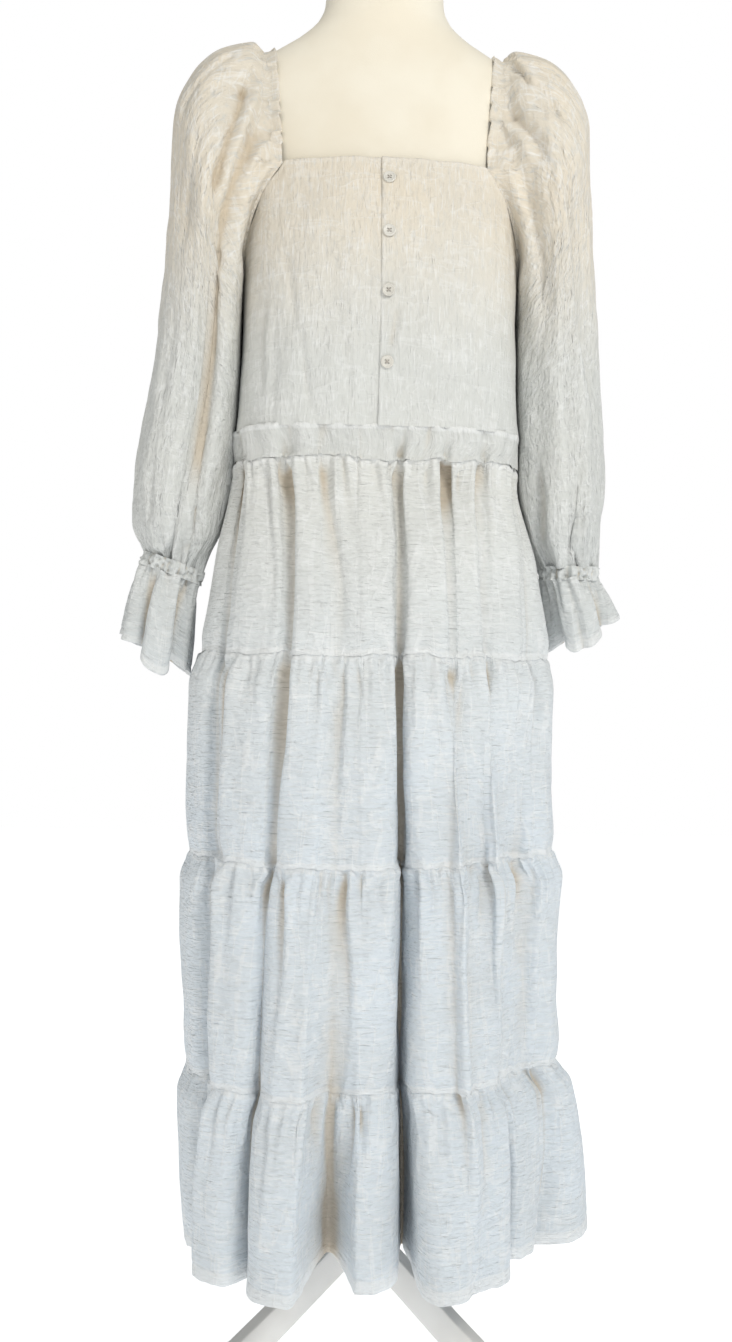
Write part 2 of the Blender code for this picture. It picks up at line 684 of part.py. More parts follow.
def sleeve(side):
    """A raglan sleeve, gathered over the shoulder and at the wrist."""
    spots, normals, away = sleeve_edge()
    count = len(spots)
    on_strap = np.zeros((count, 1))
    on_strap[QUARTER_COLUMNS + 1:3 * QUARTER_COLUMNS] = 1.0
    first = spots + away * SEAM_GAP * (1.0 - on_strap)
    step_away = SEAM_STEP_AWAY + (CASING_HEIGHT - SEAM_STEP_AWAY) * on_strap
    step_out = SEAM_STEP_OUT + (CASING_LIFT - SEAM_STEP_OUT) * on_strap
    second = first + away * step_away + normals * step_out
    second += normals * on_strap * 0.5 * GATHER_DEPTH * (np.arange(count) % 2)[:, None]
    rows = [first, second]
    rings = SLEEVE_HEAD + SLEEVE_END[side]
    plain = (0.0,) * (len(rings) - len(HEAD_GATHERS) - 2)
    gathers = HEAD_GATHERS + plain + (0.5 * WRIST_GATHER, WRIST_GATHER)
    for i, (ring, gather) in enumerate(zip(rings, gathers)):
        shift = SEAM_GAP / 2.0 if i == len(rings) - 1 else 0.0
        rows.append(flat_ring(ring, count, shift, sleeve_pull(side, i / (len(rings) - 1), gather)))
    _, _, _, axis = ring_frame(rings[-1])
    edge = {column: normals[column] for column in range(count)}
    return wall_mesh(np.array(rows), True, mirrored=side < 0, bottom=axis, top_normals=edge)


def wrist_band(side):
    """The gathered elastic channel round the wrist."""
    ring = SLEEVE_END[side][-1]
    count = 4 * QUARTER_COLUMNS
    pull = WRIST_GATHER * (np.arange(count) % 2)
    rows = []
    for shift in (-SEAM_GAP / 2.0, -SEAM_GAP / 2.0 - CASING_HEIGHT):
        rows.append(flat_ring(ring, count, shift, pull))
    _, _, _, axis = ring_frame(ring)
    return wall_mesh(np.array(rows), True, mirrored=side < 0, top=axis, bottom=axis)


def cuff_ruffle(side):
    """The flared ruffle below the wrist, with its waves."""
    wrist = np.array(SLEEVE_END[side][-1])
    end = np.array(RUFFLE_END[side])
    _, _, _, axis = ring_frame(wrist)
    start_shift = -CASING_HEIGHT - 1.5 * SEAM_GAP
    wrist[:4] += np.array((axis[0], axis[2], axis[0], axis[2])) * start_shift
    turns = 2.0 * math.pi * np.arange(RUFFLE_COLUMNS) / RUFFLE_COLUMNS
    wave = 0.5 - 0.5 * np.cos(RUFFLE_WAVES * turns + RUFFLE_WAVE_START[side])
    rows = []
    for share in RUFFLE_ROWS:
        opening = share ** RUFFLE_FLARE
        ring = wrist + (end - wrist) * np.array((opening, share, opening, share, opening, opening))
        depth = 0.25 * WRIST_GATHER + RUFFLE_WAVE_DEPTH * share ** RUFFLE_WAVE_GROWTH
        rows.append(flat_ring(ring, RUFFLE_COLUMNS, 0.0, depth * wave))
    return wall_mesh(np.array(rows), True, mirrored=side < 0, top=axis)


def dress_form():
    """The limbless torso with its neck, closed at the bottom and with a plain cap on top."""
    heights = sorted({row[0] for row in FORM_OUTLINE} | set(FORM_EXTRA_HEIGHTS))
    rings = []
    for height in heights:
        turns = 2.0 * math.pi * np.arange(FORM_COLUMNS) / FORM_COLUMNS
        rings.append(np.array([form_point(turn, height) for turn in turns]))
    cap = rings[-1] * np.array((FORM_CAP_SHARE, FORM_CAP_SHARE, 1.0)) + np.array((0.0, 0.0, FORM_CAP_RISE))
    return stacked_rings(rings + [cap])


def round_ring(radius, height, count, start=0.0):
    """A level circle of points."""
    turns = start + 2.0 * math.pi * np.arange(count) / count
    return np.stack((radius * np.cos(turns), radius * np.sin(turns), np.full(count, height)), axis=1)


def stand_pole():
    """The pole between the hub and the form."""
    return stacked_rings([
        round_ring(POLE_RADIUS, HUB_TOP + SEAM_GAP, POLE_SIDES),
        round_ring(POLE_RADIUS, FORM_BOTTOM - SEAM_GAP, POLE_SIDES),
    ])


def stand_hub():
    """The six-sided block that carries the pole and the legs."""
    radius = HUB_HALF / math.cos(math.pi / HUB_SIDES)
    turn = math.radians(STAND_TURN)
    return stacked_rings([
        round_ring(radius, HUB_BOTTOM, HUB_SIDES, turn),
        round_ring(radius, HUB_TOP, HUB_SIDES, turn),
    ])


def stand_leg(heading):
    """A slanted leg board from the hub's flat side to its foot, which is cut flat on the floor."""
    root = HUB_HALF + SEAM_GAP
    distances = [root] + [row[0] for row in LEG_EDGES[1:]]
    low = np.interp(distances, [row[0] for row in LEG_EDGES], [row[1] for row in LEG_EDGES])
    high = np.interp(distances, [row[0] for row in LEG_EDGES], [row[2] for row in LEG_EDGES])
    turn = math.radians(heading + STAND_TURN)
    out = np.array((math.cos(turn), math.sin(turn), 0.0))
    across = np.array((-math.sin(turn), math.cos(turn), 0.0)) * LEG_THICK / 2.0
    up = np.array((0.0, 0.0, 1.0))
    rings = []
    for distance, bottom, top in zip(distances, low, high):
        spine = out * distance
        rings.append(np.array([
            spine - across + up * bottom,
            spine + across + up * bottom,
            spine + across + up * top,
            spine - across + up * top,
        ]))
    return stacked_rings(rings)


def button_mesh():
    """A dished round button with four sewing holes, its underside at the origin."""
    rings = []
    for radius, height in BUTTON_PROFILE:
        rings.append(round_ring(radius, height, BUTTON_SIDES))
    points, faces = stacked_rings(rings)
    mesh = bpy.data.meshes.new("button_blank")
    mesh.from_pydata([tuple(map(float, point)) for point in points], [], faces)
    blank = bpy.data.objects.new("button_blank", mesh)
    drill = bmesh.new()
    for x in (-BUTTON_HOLE_STEP, BUTTON_HOLE_STEP):
        for y in (-BUTTON_HOLE_STEP, BUTTON_HOLE_STEP):
            bmesh.ops.create_cone(
                drill,
                cap_ends=True,
                segments=BUTTON_HOLE_SIDES,
                radius1=BUTTON_HOLE_RADIUS,
                radius2=BUTTON_HOLE_RADIUS,
                depth=2.0 * BUTTON_DRILL_REACH,
                matrix=Matrix.Translation((x, y, 0.0)),
            )
    drill_mesh = bpy.data.meshes.new("button_drill")
    drill.to_mesh(drill_mesh)
    drill.free()
    cutter = bpy.data.objects.new("button_drill", drill_mesh)
    for helper in (blank, cutter):
        bpy.context.scene.collection.objects.link(helper)
    cut = blank.modifiers.new("holes", "BOOLEAN")
    cut.operation = "DIFFERENCE"
    cut.solver = "EXACT"
    cut.object = cutter
    depsgraph = bpy.context.evaluated_depsgraph_get()
    finished = bpy.data.meshes.new_from_object(blank.evaluated_get(depsgraph))
    for helper in (blank, cutter):
        bpy.data.objects.remove(helper)
    return finished


def add_buttons(material):
    """The buttons down the lapped front, each 0.3 mm off the cloth it is sewn to."""
    mesh = button_mesh()
    mesh.materials.clear()
    mesh.materials.append(material)
    mesh.shade_smooth()
    mesh.set_sharp_from_angle(angle=math.radians(SHARP_ANGLE))
    for number, height in enumerate(BUTTON_HEIGHTS, start=1):
        half, _, _, square = read_table(BODICE_OUTLINE, height)
        spot, outward = surface_frame(bodice_point, turn_at(half, square, BUTTON_X), height)
        seat = spot + outward * (WALL / 2.0 + SEAM_GAP)
        facing = Vector(outward).to_track_quat("Z", "Y").to_matrix().to_4x4()
        button = bpy.data.objects.new(f"button_{number}", mesh)
        button.matrix_world = Matrix.Translation((seat[0] + AXIS_X, seat[1] + AXIS_Y, seat[2])) @ facing
        bpy.context.scene.collection.objects.link(button)


def build():
    """Make every piece."""
    for old in list(bpy.data.objects):
        bpy.data.objects.remove(old)
    materials = {name: make_material(name) for name in FINISHES}
    gauze = materials["gauze"]
    for side, word in ((-1, "left"), (1, "right")):
        add_object(f"bodice_front_{word}", *bodice_front(side), gauze)
        add_object(f"sleeve_{word}", *sleeve(side), gauze)
        add_object(f"wrist_band_{word}", *wrist_band(side), gauze)
        add_object(f"cuff_ruffle_{word}", *cuff_ruffle(side), gauze)
    add_object("bodice_back", *bodice_back(), gauze)
    add_object("waistband", *waistband(), gauze)
    for number in range(4):
        add_object(f"skirt_tier_{number + 1}", *skirt_tier(number), gauze)
    add_buttons(materials["button_white"])
    add_object("dress_form", *dress_form(), materials["form_cover"])
    paint = materials["stand_paint"]
    add_object("stand_pole", *stand_pole(), paint)
    add_object("stand_hub", *stand_hub(), paint)
    for word, heading in LEG_HEADINGS:
        add_object(f"stand_leg_{word}", *stand_leg(heading), paint)


build()
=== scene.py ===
# Looks of the tiered maxi dress on its dress form. Metres, +Z up, the wearer's front looks along -Y.
import math

import bmesh
import bpy
import numpy as np
from mathutils import Matrix, Vector


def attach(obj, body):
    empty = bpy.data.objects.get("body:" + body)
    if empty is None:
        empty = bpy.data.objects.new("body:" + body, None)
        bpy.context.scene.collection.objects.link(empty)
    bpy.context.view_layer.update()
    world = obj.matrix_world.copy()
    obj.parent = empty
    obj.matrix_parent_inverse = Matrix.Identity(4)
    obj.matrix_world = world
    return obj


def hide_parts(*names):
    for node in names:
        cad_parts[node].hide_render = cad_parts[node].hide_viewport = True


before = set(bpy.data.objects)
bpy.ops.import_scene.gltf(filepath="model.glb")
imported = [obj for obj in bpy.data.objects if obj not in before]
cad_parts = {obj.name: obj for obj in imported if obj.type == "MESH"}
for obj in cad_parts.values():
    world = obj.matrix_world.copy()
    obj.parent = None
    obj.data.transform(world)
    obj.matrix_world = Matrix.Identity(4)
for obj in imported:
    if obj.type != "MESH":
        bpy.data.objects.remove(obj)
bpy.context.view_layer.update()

# Camera, matched to the photograph: distance from the dress, height, focal length in the frame's pixels, and
# angles in degrees
FRAME_HEIGHT = 1342.0
SENSOR = 36.0
CAMERA_DISTANCE = 1.617
CAMERA_HEIGHT = 0.892
CAMERA_FOCAL = 1400.0
CAMERA_ROLL = 1.1
CAMERA_AZIMUTH = -3.0
CAMERA_PAN = 6.0

# Millimetres in metres, a full circle, a mirror across the body, and words for the viewer's two sides
MM = 0.001
FULL_TURN = 2.0 * math.pi
MIRROR = np.array((-1.0, 1.0, 1.0))
SIDE_WORDS = {-1: "left", 1: "right"}

# The model's own sizes: cloth thickness, seam gap, the body's axis, and the heights of the edges and seams
WALL = 0.0016
SEAM_GAP = 0.0003
AXIS = np.array((0.0105, -0.0890, 0.0))
NECKLINE_FRONT = 1.450
NECKLINE_BACK = 1.475
UNDERARM = 1.305
BAND_TOP = 1.156
SKIRT_SEAMS = (1.122, 0.909, 0.685, 0.447, 0.250)
SIDE_SEAM_TURN = 89.9
WAIST_CORNER_TURN = 38.0

# Skirt outline: height, reach to the viewer's left and right, to the front and back, and squareness
SKIRT_OUTLINE = (
    (1.156, 0.1612, 0.1598, 0.118, 0.112, 3.1),
    (1.122, 0.1612, 0.1596, 0.107, 0.106, 3.0),
    (1.020, 0.1800, 0.1830, 0.137, 0.135, 2.6),
    (0.909, 0.2010, 0.2030, 0.160, 0.158, 2.4),
    (0.870, 0.2095, 0.2072, 0.165, 0.165, 2.4),
    (0.800, 0.2105, 0.2073, 0.170, 0.172, 2.3),
    (0.685, 0.2090, 0.2125, 0.176, 0.180, 2.3),
    (0.655, 0.2140, 0.2195, 0.180, 0.184, 2.3),
    (0.560, 0.2120, 0.2170, 0.183, 0.188, 2.2),
    (0.447, 0.2085, 0.2220, 0.189, 0.193, 2.2),
    (0.415, 0.2150, 0.2380, 0.193, 0.197, 2.2),
    (0.340, 0.2110, 0.2500, 0.200, 0.203, 2.2),
    (0.250, 0.2020, 0.2580, 0.211, 0.208, 2.2),
)
# Skirt folds: turns from the front in degrees, then depths in millimetres, at the waist, each seam and the hem,
# and how wide each fold's bottom opens
SKIRT_FOLDS = (
    (-86, -84, -88, -94, -104, 3, 6, 9, 14, 30, 1.0),
    (-64, -56, -58, -60, -65, 5, 14, 20, 26, 46, 1.0),
    (-37, -28, -31, -36, -42, 7, 14, 20, 28, 46, 1.0),
    (-19, -11, -11, -11, -12, 3, 8, 14, 50, 140, 2.3),
    (8, 6, 8, 9, 10, 9, 24, 76, 108, 155, 1.0),
    (25, 22, 24, 26, 24, 5, 9, 5, 4, 6, 1.0),
    (41, 34, 37, 42, 38, 6, 10, 10, 36, 88, 1.0),
    (70, 56, 60, 66, 59, 5, 10, 14, 24, 56, 1.0),
    (98, 94, 98, 106, 114, 4, 8, 14, 22, 44, 1.0),
    (128, 122, 126, 132, 138, 6, 14, 20, 30, 60, 1.2),
    (158, 152, 156, 160, 164, 7, 12, 18, 26, 52, 1.0),
    (190, 186, 188, 192, 194, 8, 16, 24, 40, 76, 1.3),
    (230, 226, 228, 230, 226, 6, 12, 18, 28, 56, 1.0),
)
# How far the lobe after each fold lies inside the outline, in millimetres, at the same heights
SKIRT_LOBES = (
    (0, 0, 0, 0, 0),
    (0, 0, 0, -4, -13),
    (0, 0, 0, -6, -12),
    (0, 0, 5, 32, 34),
    (0, 4, 24, 20, -9),
    (0, 6, 30, 24, 10),
    (0, 8, 32, 34, 46),
    (0, 0, 0, 0, 0),
    (0, 0, 0, 0, 8),
    (0, 0, 0, 0, 0),
    (0, 0, 0, 6, 14),
    (0, 0, 0, 0, 0),
    (0, 0, 4, 8, 12),
)
SKIRT_RISE = ((1.156, 0.0), (0.909, 0.0), (0.685, 0.007), (0.447, 0.009), (0.250, 0.016))
# Each fold: its places round the skirt, where its bottom, flank and crown lie on the way to the next one, how
# its depth spreads, and the tuck at each seam
FOLD_PLACES = 6
SKIRT_PLACES = FOLD_PLACES * len(SKIRT_FOLDS)
FOLD_BOTTOM = 0.04
FOLD_FLANK = 0.13
FOLD_CROWN = 0.38
FOLD_REACH = 1.35
FOLD_POWER = 2.2
FOLD_SHARE = ((1.156, 1.0), (0.909, 0.95), (0.685, 0.86), (0.447, 0.93), (0.250, 1.0))
TURN_NUDGE = 0.02
SEAM_TUCK = 0.0045
TUCK_REACH = 0.016

# Bodice outline: height, half width, reach to the front and back, and squareness
BODICE_OUTLINE = (
    (1.156, 0.1600, 0.119, 0.112, 3.0),
    (1.180, 0.1580, 0.125, 0.110, 2.8),
    (1.240, 0.1560, 0.129, 0.105, 2.6),
    (1.305, 0.1555, 0.130, 0.102, 2.5),
    (1.362, 0.1550, 0.123, 0.103, 2.5),
    (1.425, 0.1545, 0.1045, 0.102, 2.4),
    (1.500, 0.1590, 0.081, 0.092, 2.4),
)
PLACKET_EDGE = -0.0045
PLACKET_UNDER = 0.0130
LAP_START = 0.034
LAP_RAMP = 0.022
# Raglan seam: share of the way from the underarm to the neckline, then of the rise and of the half width
RAGLAN = (
    (0.00, 0.00, 1.0000),
    (0.25, 0.22, 0.9960),
    (0.50, 0.47, 0.9700),
    (0.75, 0.75, 0.8800),
    (1.00, 1.00, 0.7130),
)

PANEL_BOTTOM = BAND_TOP - 0.001
PANEL_PERIOD = 2.0

# Dress form: height, half width, reach to the front and back, and squareness
FORM_OUTLINE = (
    (0.860, 0.1640, 0.098, 0.112, 2.3),
    (0.920, 0.1660, 0.099, 0.116, 2.3),
    (1.000, 0.1540, 0.095, 0.104, 2.3),
    (1.060, 0.1360, 0.088, 0.090, 2.2),
    (1.130, 0.1180, 0.082, 0.080, 2.2),
    (1.200, 0.1240, 0.092, 0.084, 2.3),
    (1.270, 0.1360, 0.114, 0.090, 2.3),
    (1.330, 0.1420, 0.119, 0.094, 2.3),
    (1.390, 0.1460, 0.109, 0.096, 2.4),
    (1.450, 0.1500, 0.0915, 0.0935, 2.4),
    (1.510, 0.1580, 0.0750, 0.0850, 2.3),
    (1.550, 0.1640, 0.064, 0.076, 2.2),
    (1.575, 0.1560, 0.058, 0.070, 2.1),
    (1.596, 0.1300, 0.054, 0.066, 2.0),
    (1.615, 0.0990, 0.052, 0.063, 2.0),
    (1.635, 0.0770, 0.052, 0.061, 2.0),
    (1.655, 0.0685, 0.053, 0.060, 2.0),
    (1.720, 0.0655, 0.055, 0.060, 2.0),
)
SHOULDER_LINE_RANGE = (1.575, 1.650)
# The rounded rim on top of the neck: share of the neck's width, and height above it
FORM_CAP = ((0.97, 0.0028), (0.90, 0.0046), (0.82, 0.0060), (0.4, 0.0064))

# Stand: the pole, the hub on it, how far the legs are turned, and how thick their boards are
POLE_RADIUS = 0.015
HUB_BOTTOM = 0.222
HUB_TOP = 0.300
HUB_HALF = 0.025
STAND_TURN = -3.0
LEG_THICK = 0.018
LEG_HEADINGS = (("back", 90.0), ("left", 210.0), ("right", 330.0))
# Leg board from the hub outwards: distance from the pole, and the heights of its lower and upper edge
LEG_EDGES = (
    (0.0000, 0.2250, 0.2680),
    (0.1200, 0.1364, 0.1790),
    (0.1600, 0.1110, 0.1515),
    (0.3820, 0.0000, 0.0390),
    (0.4100, 0.0000, 0.0250),
)
SHARP_TURN = 0.6
POLE_BEVEL = 0.0004
HUB_BEVEL = 0.0020
LEG_BEVEL = 0.0022

# Buttons: heights and place across, holes and thread, and the profile's radius and height
BUTTON_HEIGHTS = (1.425, 1.362, 1.297, 1.221)
BUTTON_X = 0.0030
BUTTON_HOLE_RADIUS = 0.0009
BUTTON_HOLE_STEP = 0.0015
THREAD_RADIUS = 0.00045
THREAD_ARCH = 0.0006
THREAD_RINGS = 9
THREAD_SIDES = 8
BUTTON_PROFILE = (
    (0.0060, 0.0000), (0.0066, 0.0004), (0.0070, 0.0012), (0.0069, 0.0019), (0.0065, 0.0024),
    (0.0060, 0.0026), (0.0055, 0.0025), (0.0050, 0.0021), (0.0046, 0.0018), (0.0041, 0.0017),
)

# Sleeve head, casing and rings: inner x and z, outer x and z, reach to the front and back
CASING_HEIGHT = 0.011
CASING_LIFT = 0.0015
STRAP_TOP_X = 0.1236
STRAP_LIFT_CORNER = 0.0040
STRAP_LIFT_TOP = 0.0014
SEAM_STEP_AWAY = 0.002
SEAM_STEP_OUT = 0.003
SLEEVE_HEAD = (
    (0.1616, 1.2990, 0.1500, 1.6110, 0.088, 0.088),
    (0.1622, 1.2930, 0.1860, 1.6010, 0.100, 0.098),
    (0.1624, 1.2850, 0.2150, 1.5760, 0.106, 0.102),
    (0.1622, 1.2740, 0.2350, 1.5300, 0.104, 0.100),
    (0.1618, 1.2550, 0.2395, 1.4620, 0.096, 0.096),
    (0.1616, 1.2200, 0.2450, 1.3700, 0.087, 0.088),
    (0.1640, 1.1700, 0.2555, 1.2500, 0.078, 0.080),
)
SLEEVE_END = {
    -1: (
        (0.1735, 1.1130, 0.2740, 1.1280, 0.070, 0.070),
        (0.1865, 1.0500, 0.2765, 1.0640, 0.058, 0.058),
        (0.1965, 0.9995, 0.2655, 1.0225, 0.036, 0.036),
    ),
    1: (
        (0.1725, 1.1080, 0.2640, 1.1200, 0.070, 0.070),
        (0.1850, 1.0540, 0.2615, 1.0600, 0.056, 0.056),
        (0.1940, 1.0135, 0.2610, 1.0140, 0.036, 0.036),
    ),
}
# Sleeve folds: share round at the head, the elbow and the wrist, depth in millimetres there, and half width as
# a share
SLEEVE_FOLDS = {
    -1: (
        (0.34, 0.27, 0.30, 9, 3, 2, 0.035),
        (0.17, 0.21, 0.24, 8, 9, 6, 0.035),
        (0.08, 0.09, 0.12, 4, 5, 4, 0.035),
        (0.45, 0.42, 0.40, 4, 3, 5, 0.035),
        (0.62, 0.64, 0.62, 6, 7, 5, 0.040),
        (0.80, 0.78, 0.76, 6, 6, 4, 0.040),
    ),
    1: (
        (0.33, 0.34, 0.37, 7, 6, 3, 0.035),
        (0.19, 0.17, 0.12, 5, 4, 6, 0.035),
        (0.26, 0.26, 0.25, 4, 2, 5, 0.030),
        (0.43, 0.44, 0.45, 3, 3, 4, 0.030),
        (0.60, 0.63, 0.64, 6, 6, 5, 0.040),
        (0.82, 0.80, 0.78, 6, 7, 4, 0.040),
    ),
}
RUFFLE_END = {
    -1: (0.2110, 0.8870, 0.2890, 0.9240, 0.048, 0.048),
    1: (0.2090, 0.9220, 0.2840, 0.9540, 0.046, 0.046),
}
RUFFLE_FLARE = 0.8
RUFFLE_VALLEY_GROWTH = 0.60
RUFFLE_SPREAD = 0.0045
RUFFLE_SCALLOP = 0.30
# How far the hem of a cuff's lobes hangs lower: turn, drop in millimetres, and half width in radians
RUFFLE_DROPS = {
    -1: ((1.45, 17, 0.42), (3.2, -4, 0.4), (5.6, 4, 0.5)),
    1: ((1.35, 13, 0.50), (3.0, -5, 0.5), (5.6, 4, 0.5)),
}
# Ruffle valleys: turn in radians from the inner side through the front, depth in millimetres, and half widths
RUFFLE_VALLEYS = {
    -1: (
        (0.10, 10, 0.22, 0.22), (0.90, 24, 0.34, 0.13), (1.98, 25, 0.13, 0.36), (2.85, 9, 0.20, 0.24),
        (3.60, 15, 0.26, 0.18), (4.40, 18, 0.18, 0.26), (5.30, 15, 0.26, 0.18),
    ),
    1: (
        (0.60, 21, 0.34, 0.13), (1.30, 6, 0.12, 0.14), (2.04, 22, 0.13, 0.34), (2.90, 9, 0.20, 0.20),
        (3.65, 15, 0.18, 0.26), (4.50, 18, 0.26, 0.18), (5.45, 15, 0.20, 0.26),
    ),
}
# Creases, seen from the front: depth and half widths to the left and right, then points as x and
# height, all in millimetres
SLEEVE_CREASES = {
    -1: (
        (12.0, 14.0, 4.5, (-152, 1540), (-157, 1514), (-164, 1483), (-172, 1445), (-180, 1413), (-186, 1384)),
        (6.0, 6.0, 3.5, (-142, 1554), (-151, 1536), (-154, 1520)),
        (12.0, 15.0, 4.5, (-115, 1499), (-126, 1496), (-140, 1475), (-151, 1448), (-159, 1426), (-165, 1397),
            (-171, 1365), (-177, 1326), (-181, 1284), (-186, 1241), (-192, 1187), (-198, 1143), (-202, 1105),
            (-207, 1067), (-213, 1040), (-220, 1013)),
        (7.0, 6.0, 3.5, (-127, 1454), (-140, 1440), (-149, 1425), (-156, 1407)),
        (3.0, 3.0, 4.0, (-168, 1575), (-189, 1554), (-205, 1535), (-217, 1523), (-222, 1506), (-221, 1483)),
        (5.0, 4.0, 3.0, (-255, 1026), (-245, 1017), (-239, 1003)),
        (5.0, 3.5, 3.5, (-227, 1056), (-230, 1029), (-236, 1010)),
        (6.0, 3.5, 4.5, (-206, 1073), (-210, 1051), (-215, 1029), (-222, 1004)),
        (3.0, 3.0, 3.0, (-213, 1029), (-213, 1004)),
        (3.0, 5.0, 3.0, (-251, 1110), (-253, 1077), (-255, 1045)),
        (2.5, 5.0, 3.5, (-205, 1465), (-214, 1400), (-222, 1330)),
        (2.5, 4.0, 6.0, (-226, 1290), (-233, 1230), (-243, 1160)),
        (2.5, 6.0, 4.0, (-210, 1240), (-222, 1180), (-226, 1120)),
    ),
    1: (
        (6.0, 5.0, 4.0, (140, 1583), (147, 1572), (154, 1556), (162, 1541)),
        (8.0, 4.0, 11.0, (124, 1520), (132, 1519), (141, 1510), (149, 1497), (159, 1483), (166, 1465),
            (169, 1449)),
        (3.0, 3.0, 5.0, (149, 1562), (171, 1543), (183, 1521), (191, 1495)),
        (5.5, 4.0, 14.0, (181, 1498), (191, 1461), (201, 1405), (211, 1343), (221, 1274), (235, 1208),
            (247, 1143)),
        (3.0, 3.0, 5.0, (179, 1523), (189, 1507), (199, 1497)),
        (6.0, 4.5, 3.0, (187, 1128), (195, 1089), (199, 1056), (203, 1025)),
        (6.0, 4.0, 4.0, (227, 1072), (223, 1044), (222, 1023)),
        (6.0, 4.0, 10.0, (134, 1471), (149, 1439), (161, 1398)),
        (6.0, 4.0, 12.0, (158, 1415), (172, 1348), (184, 1273)),
        (2.5, 6.0, 4.0, (230, 1430), (238, 1370), (241, 1300)),
        (2.5, 4.0, 6.0, (196, 1240), (206, 1190), (213, 1130)),
    ),
}
BODICE_CREASES = (
    (2.5, 3.0, 3.0, (13, 1281), (11, 1255), (7, 1232)),
    (1.8, 5.0, 3.5, (-90, 1255), (-83, 1201), (-77, 1161)),
    (1.6, 4.0, 4.0, (-42, 1254), (-37, 1196), (-33, 1160)),
    (1.6, 4.0, 5.0, (50, 1289), (60, 1236), (69, 1168)),
    (1.6, 5.0, 4.0, (101, 1284), (98, 1229), (104, 1171)),
    (2.0, 5.0, 3.5, (-129, 1293), (-131, 1239), (-130, 1184)),
    (1.8, 4.0, 4.0, (-108, 1344), (-100, 1299), (-94, 1256)),
)

# Gathers and seams: how far a gather wanders, the seam's step, puff and lip, and its turned, stitched edges
GATHER_DEPTH = 1.45
GATHER_OPENING = 0.024
GATHER_START = 0.12
GATHER_WANDER = 0.0035
GATHER_WAVE = 22.0
# Pull depths at which a crease's painted shade is full, on the skirt and bodice, and on the sleeves
CREASE_SHADE_DEPTH = 0.0110
SLEEVE_SHADE_DEPTH = 0.0125
FRONT_LEAN = 0.75
FRONT_LEAN_TURN = 29.0
SEAM_OVERLAP = 0.0008
SEAM_FADE = 0.02
SEAM_WANDER = 0.0015
SEAM_DRIFT = 0.0030
SEAM_STEP = 0.0007
SEAM_PUFF = 0.0016
SEAM_PUFF_DOWN = 0.0060
SEAM_PUFF_WIDTH = 0.0055
SEAM_LIP = 0.0007
SEAM_LIP_WIDTH = 0.0024
SEAM_ALLOWANCE = 0.0065
HEM_STITCH = 0.0007
HEM_BAND = 0.013
CUFF_HEM_BAND = 0.008
HEM_STITCH_WIDTH = 0.0022
CUFF_STITCH_WIDTH = 0.0020
RAGGED_REACH = 0.03
# Turned edges, how far the waistband laps over the bodice and stands out, and how deep the wrist's channel is
# puckered, sunk in and lapped over its neighbours
HEM_FOLD = 0.0013
EDGE_FOLD = 0.0014
BEND_REACH = 0.0005
BAND_LAP = 0.0020
BAND_LIFT = 0.0010
WRIST_PUCKER = 0.0038
WRIST_SINK = 0.0016
WRIST_LAP = 0.0025

# How the sleeves lie against the body, and how their casing turns in to the neck
FACING_RAMP = 0.3
SLEEVE_CLEARANCE = 0.0014
PRESS_REACH = 0.100
PRESS_TOP = 1.36
PRESS_BOTTOM = 1.00
PRESS_MOST = 0.016
CASING_TURN_IN = 0.0036
CASING_ROLL = 0.0007
CASING_DEEPEST = 0.0008
SLEEVE_DEEPEST = 0.03

# How finely each cloth and the form are made
COLUMNS_A_PLACE = 12
SKIRT_COLUMNS = np.arange(SKIRT_PLACES * COLUMNS_A_PLACE) / COLUMNS_A_PLACE
TIER_ROWS = 56
PANEL_ROWS = 110
NECK_STEPS = 44
RAGLAN_STEPS = 120
SLEEVE_PLACES = 32
SLEEVE_STEPS_PER_PLACE = 8
SLEEVE_ROWS = 170
BAND_ROWS = 26
WRIST_ROWS = 18
WRIST_COLUMNS = 320
RUFFLE_ROWS = 48
RUFFLE_COLUMNS = 420
FORM_ROWS = 120
FORM_COLUMNS = 128

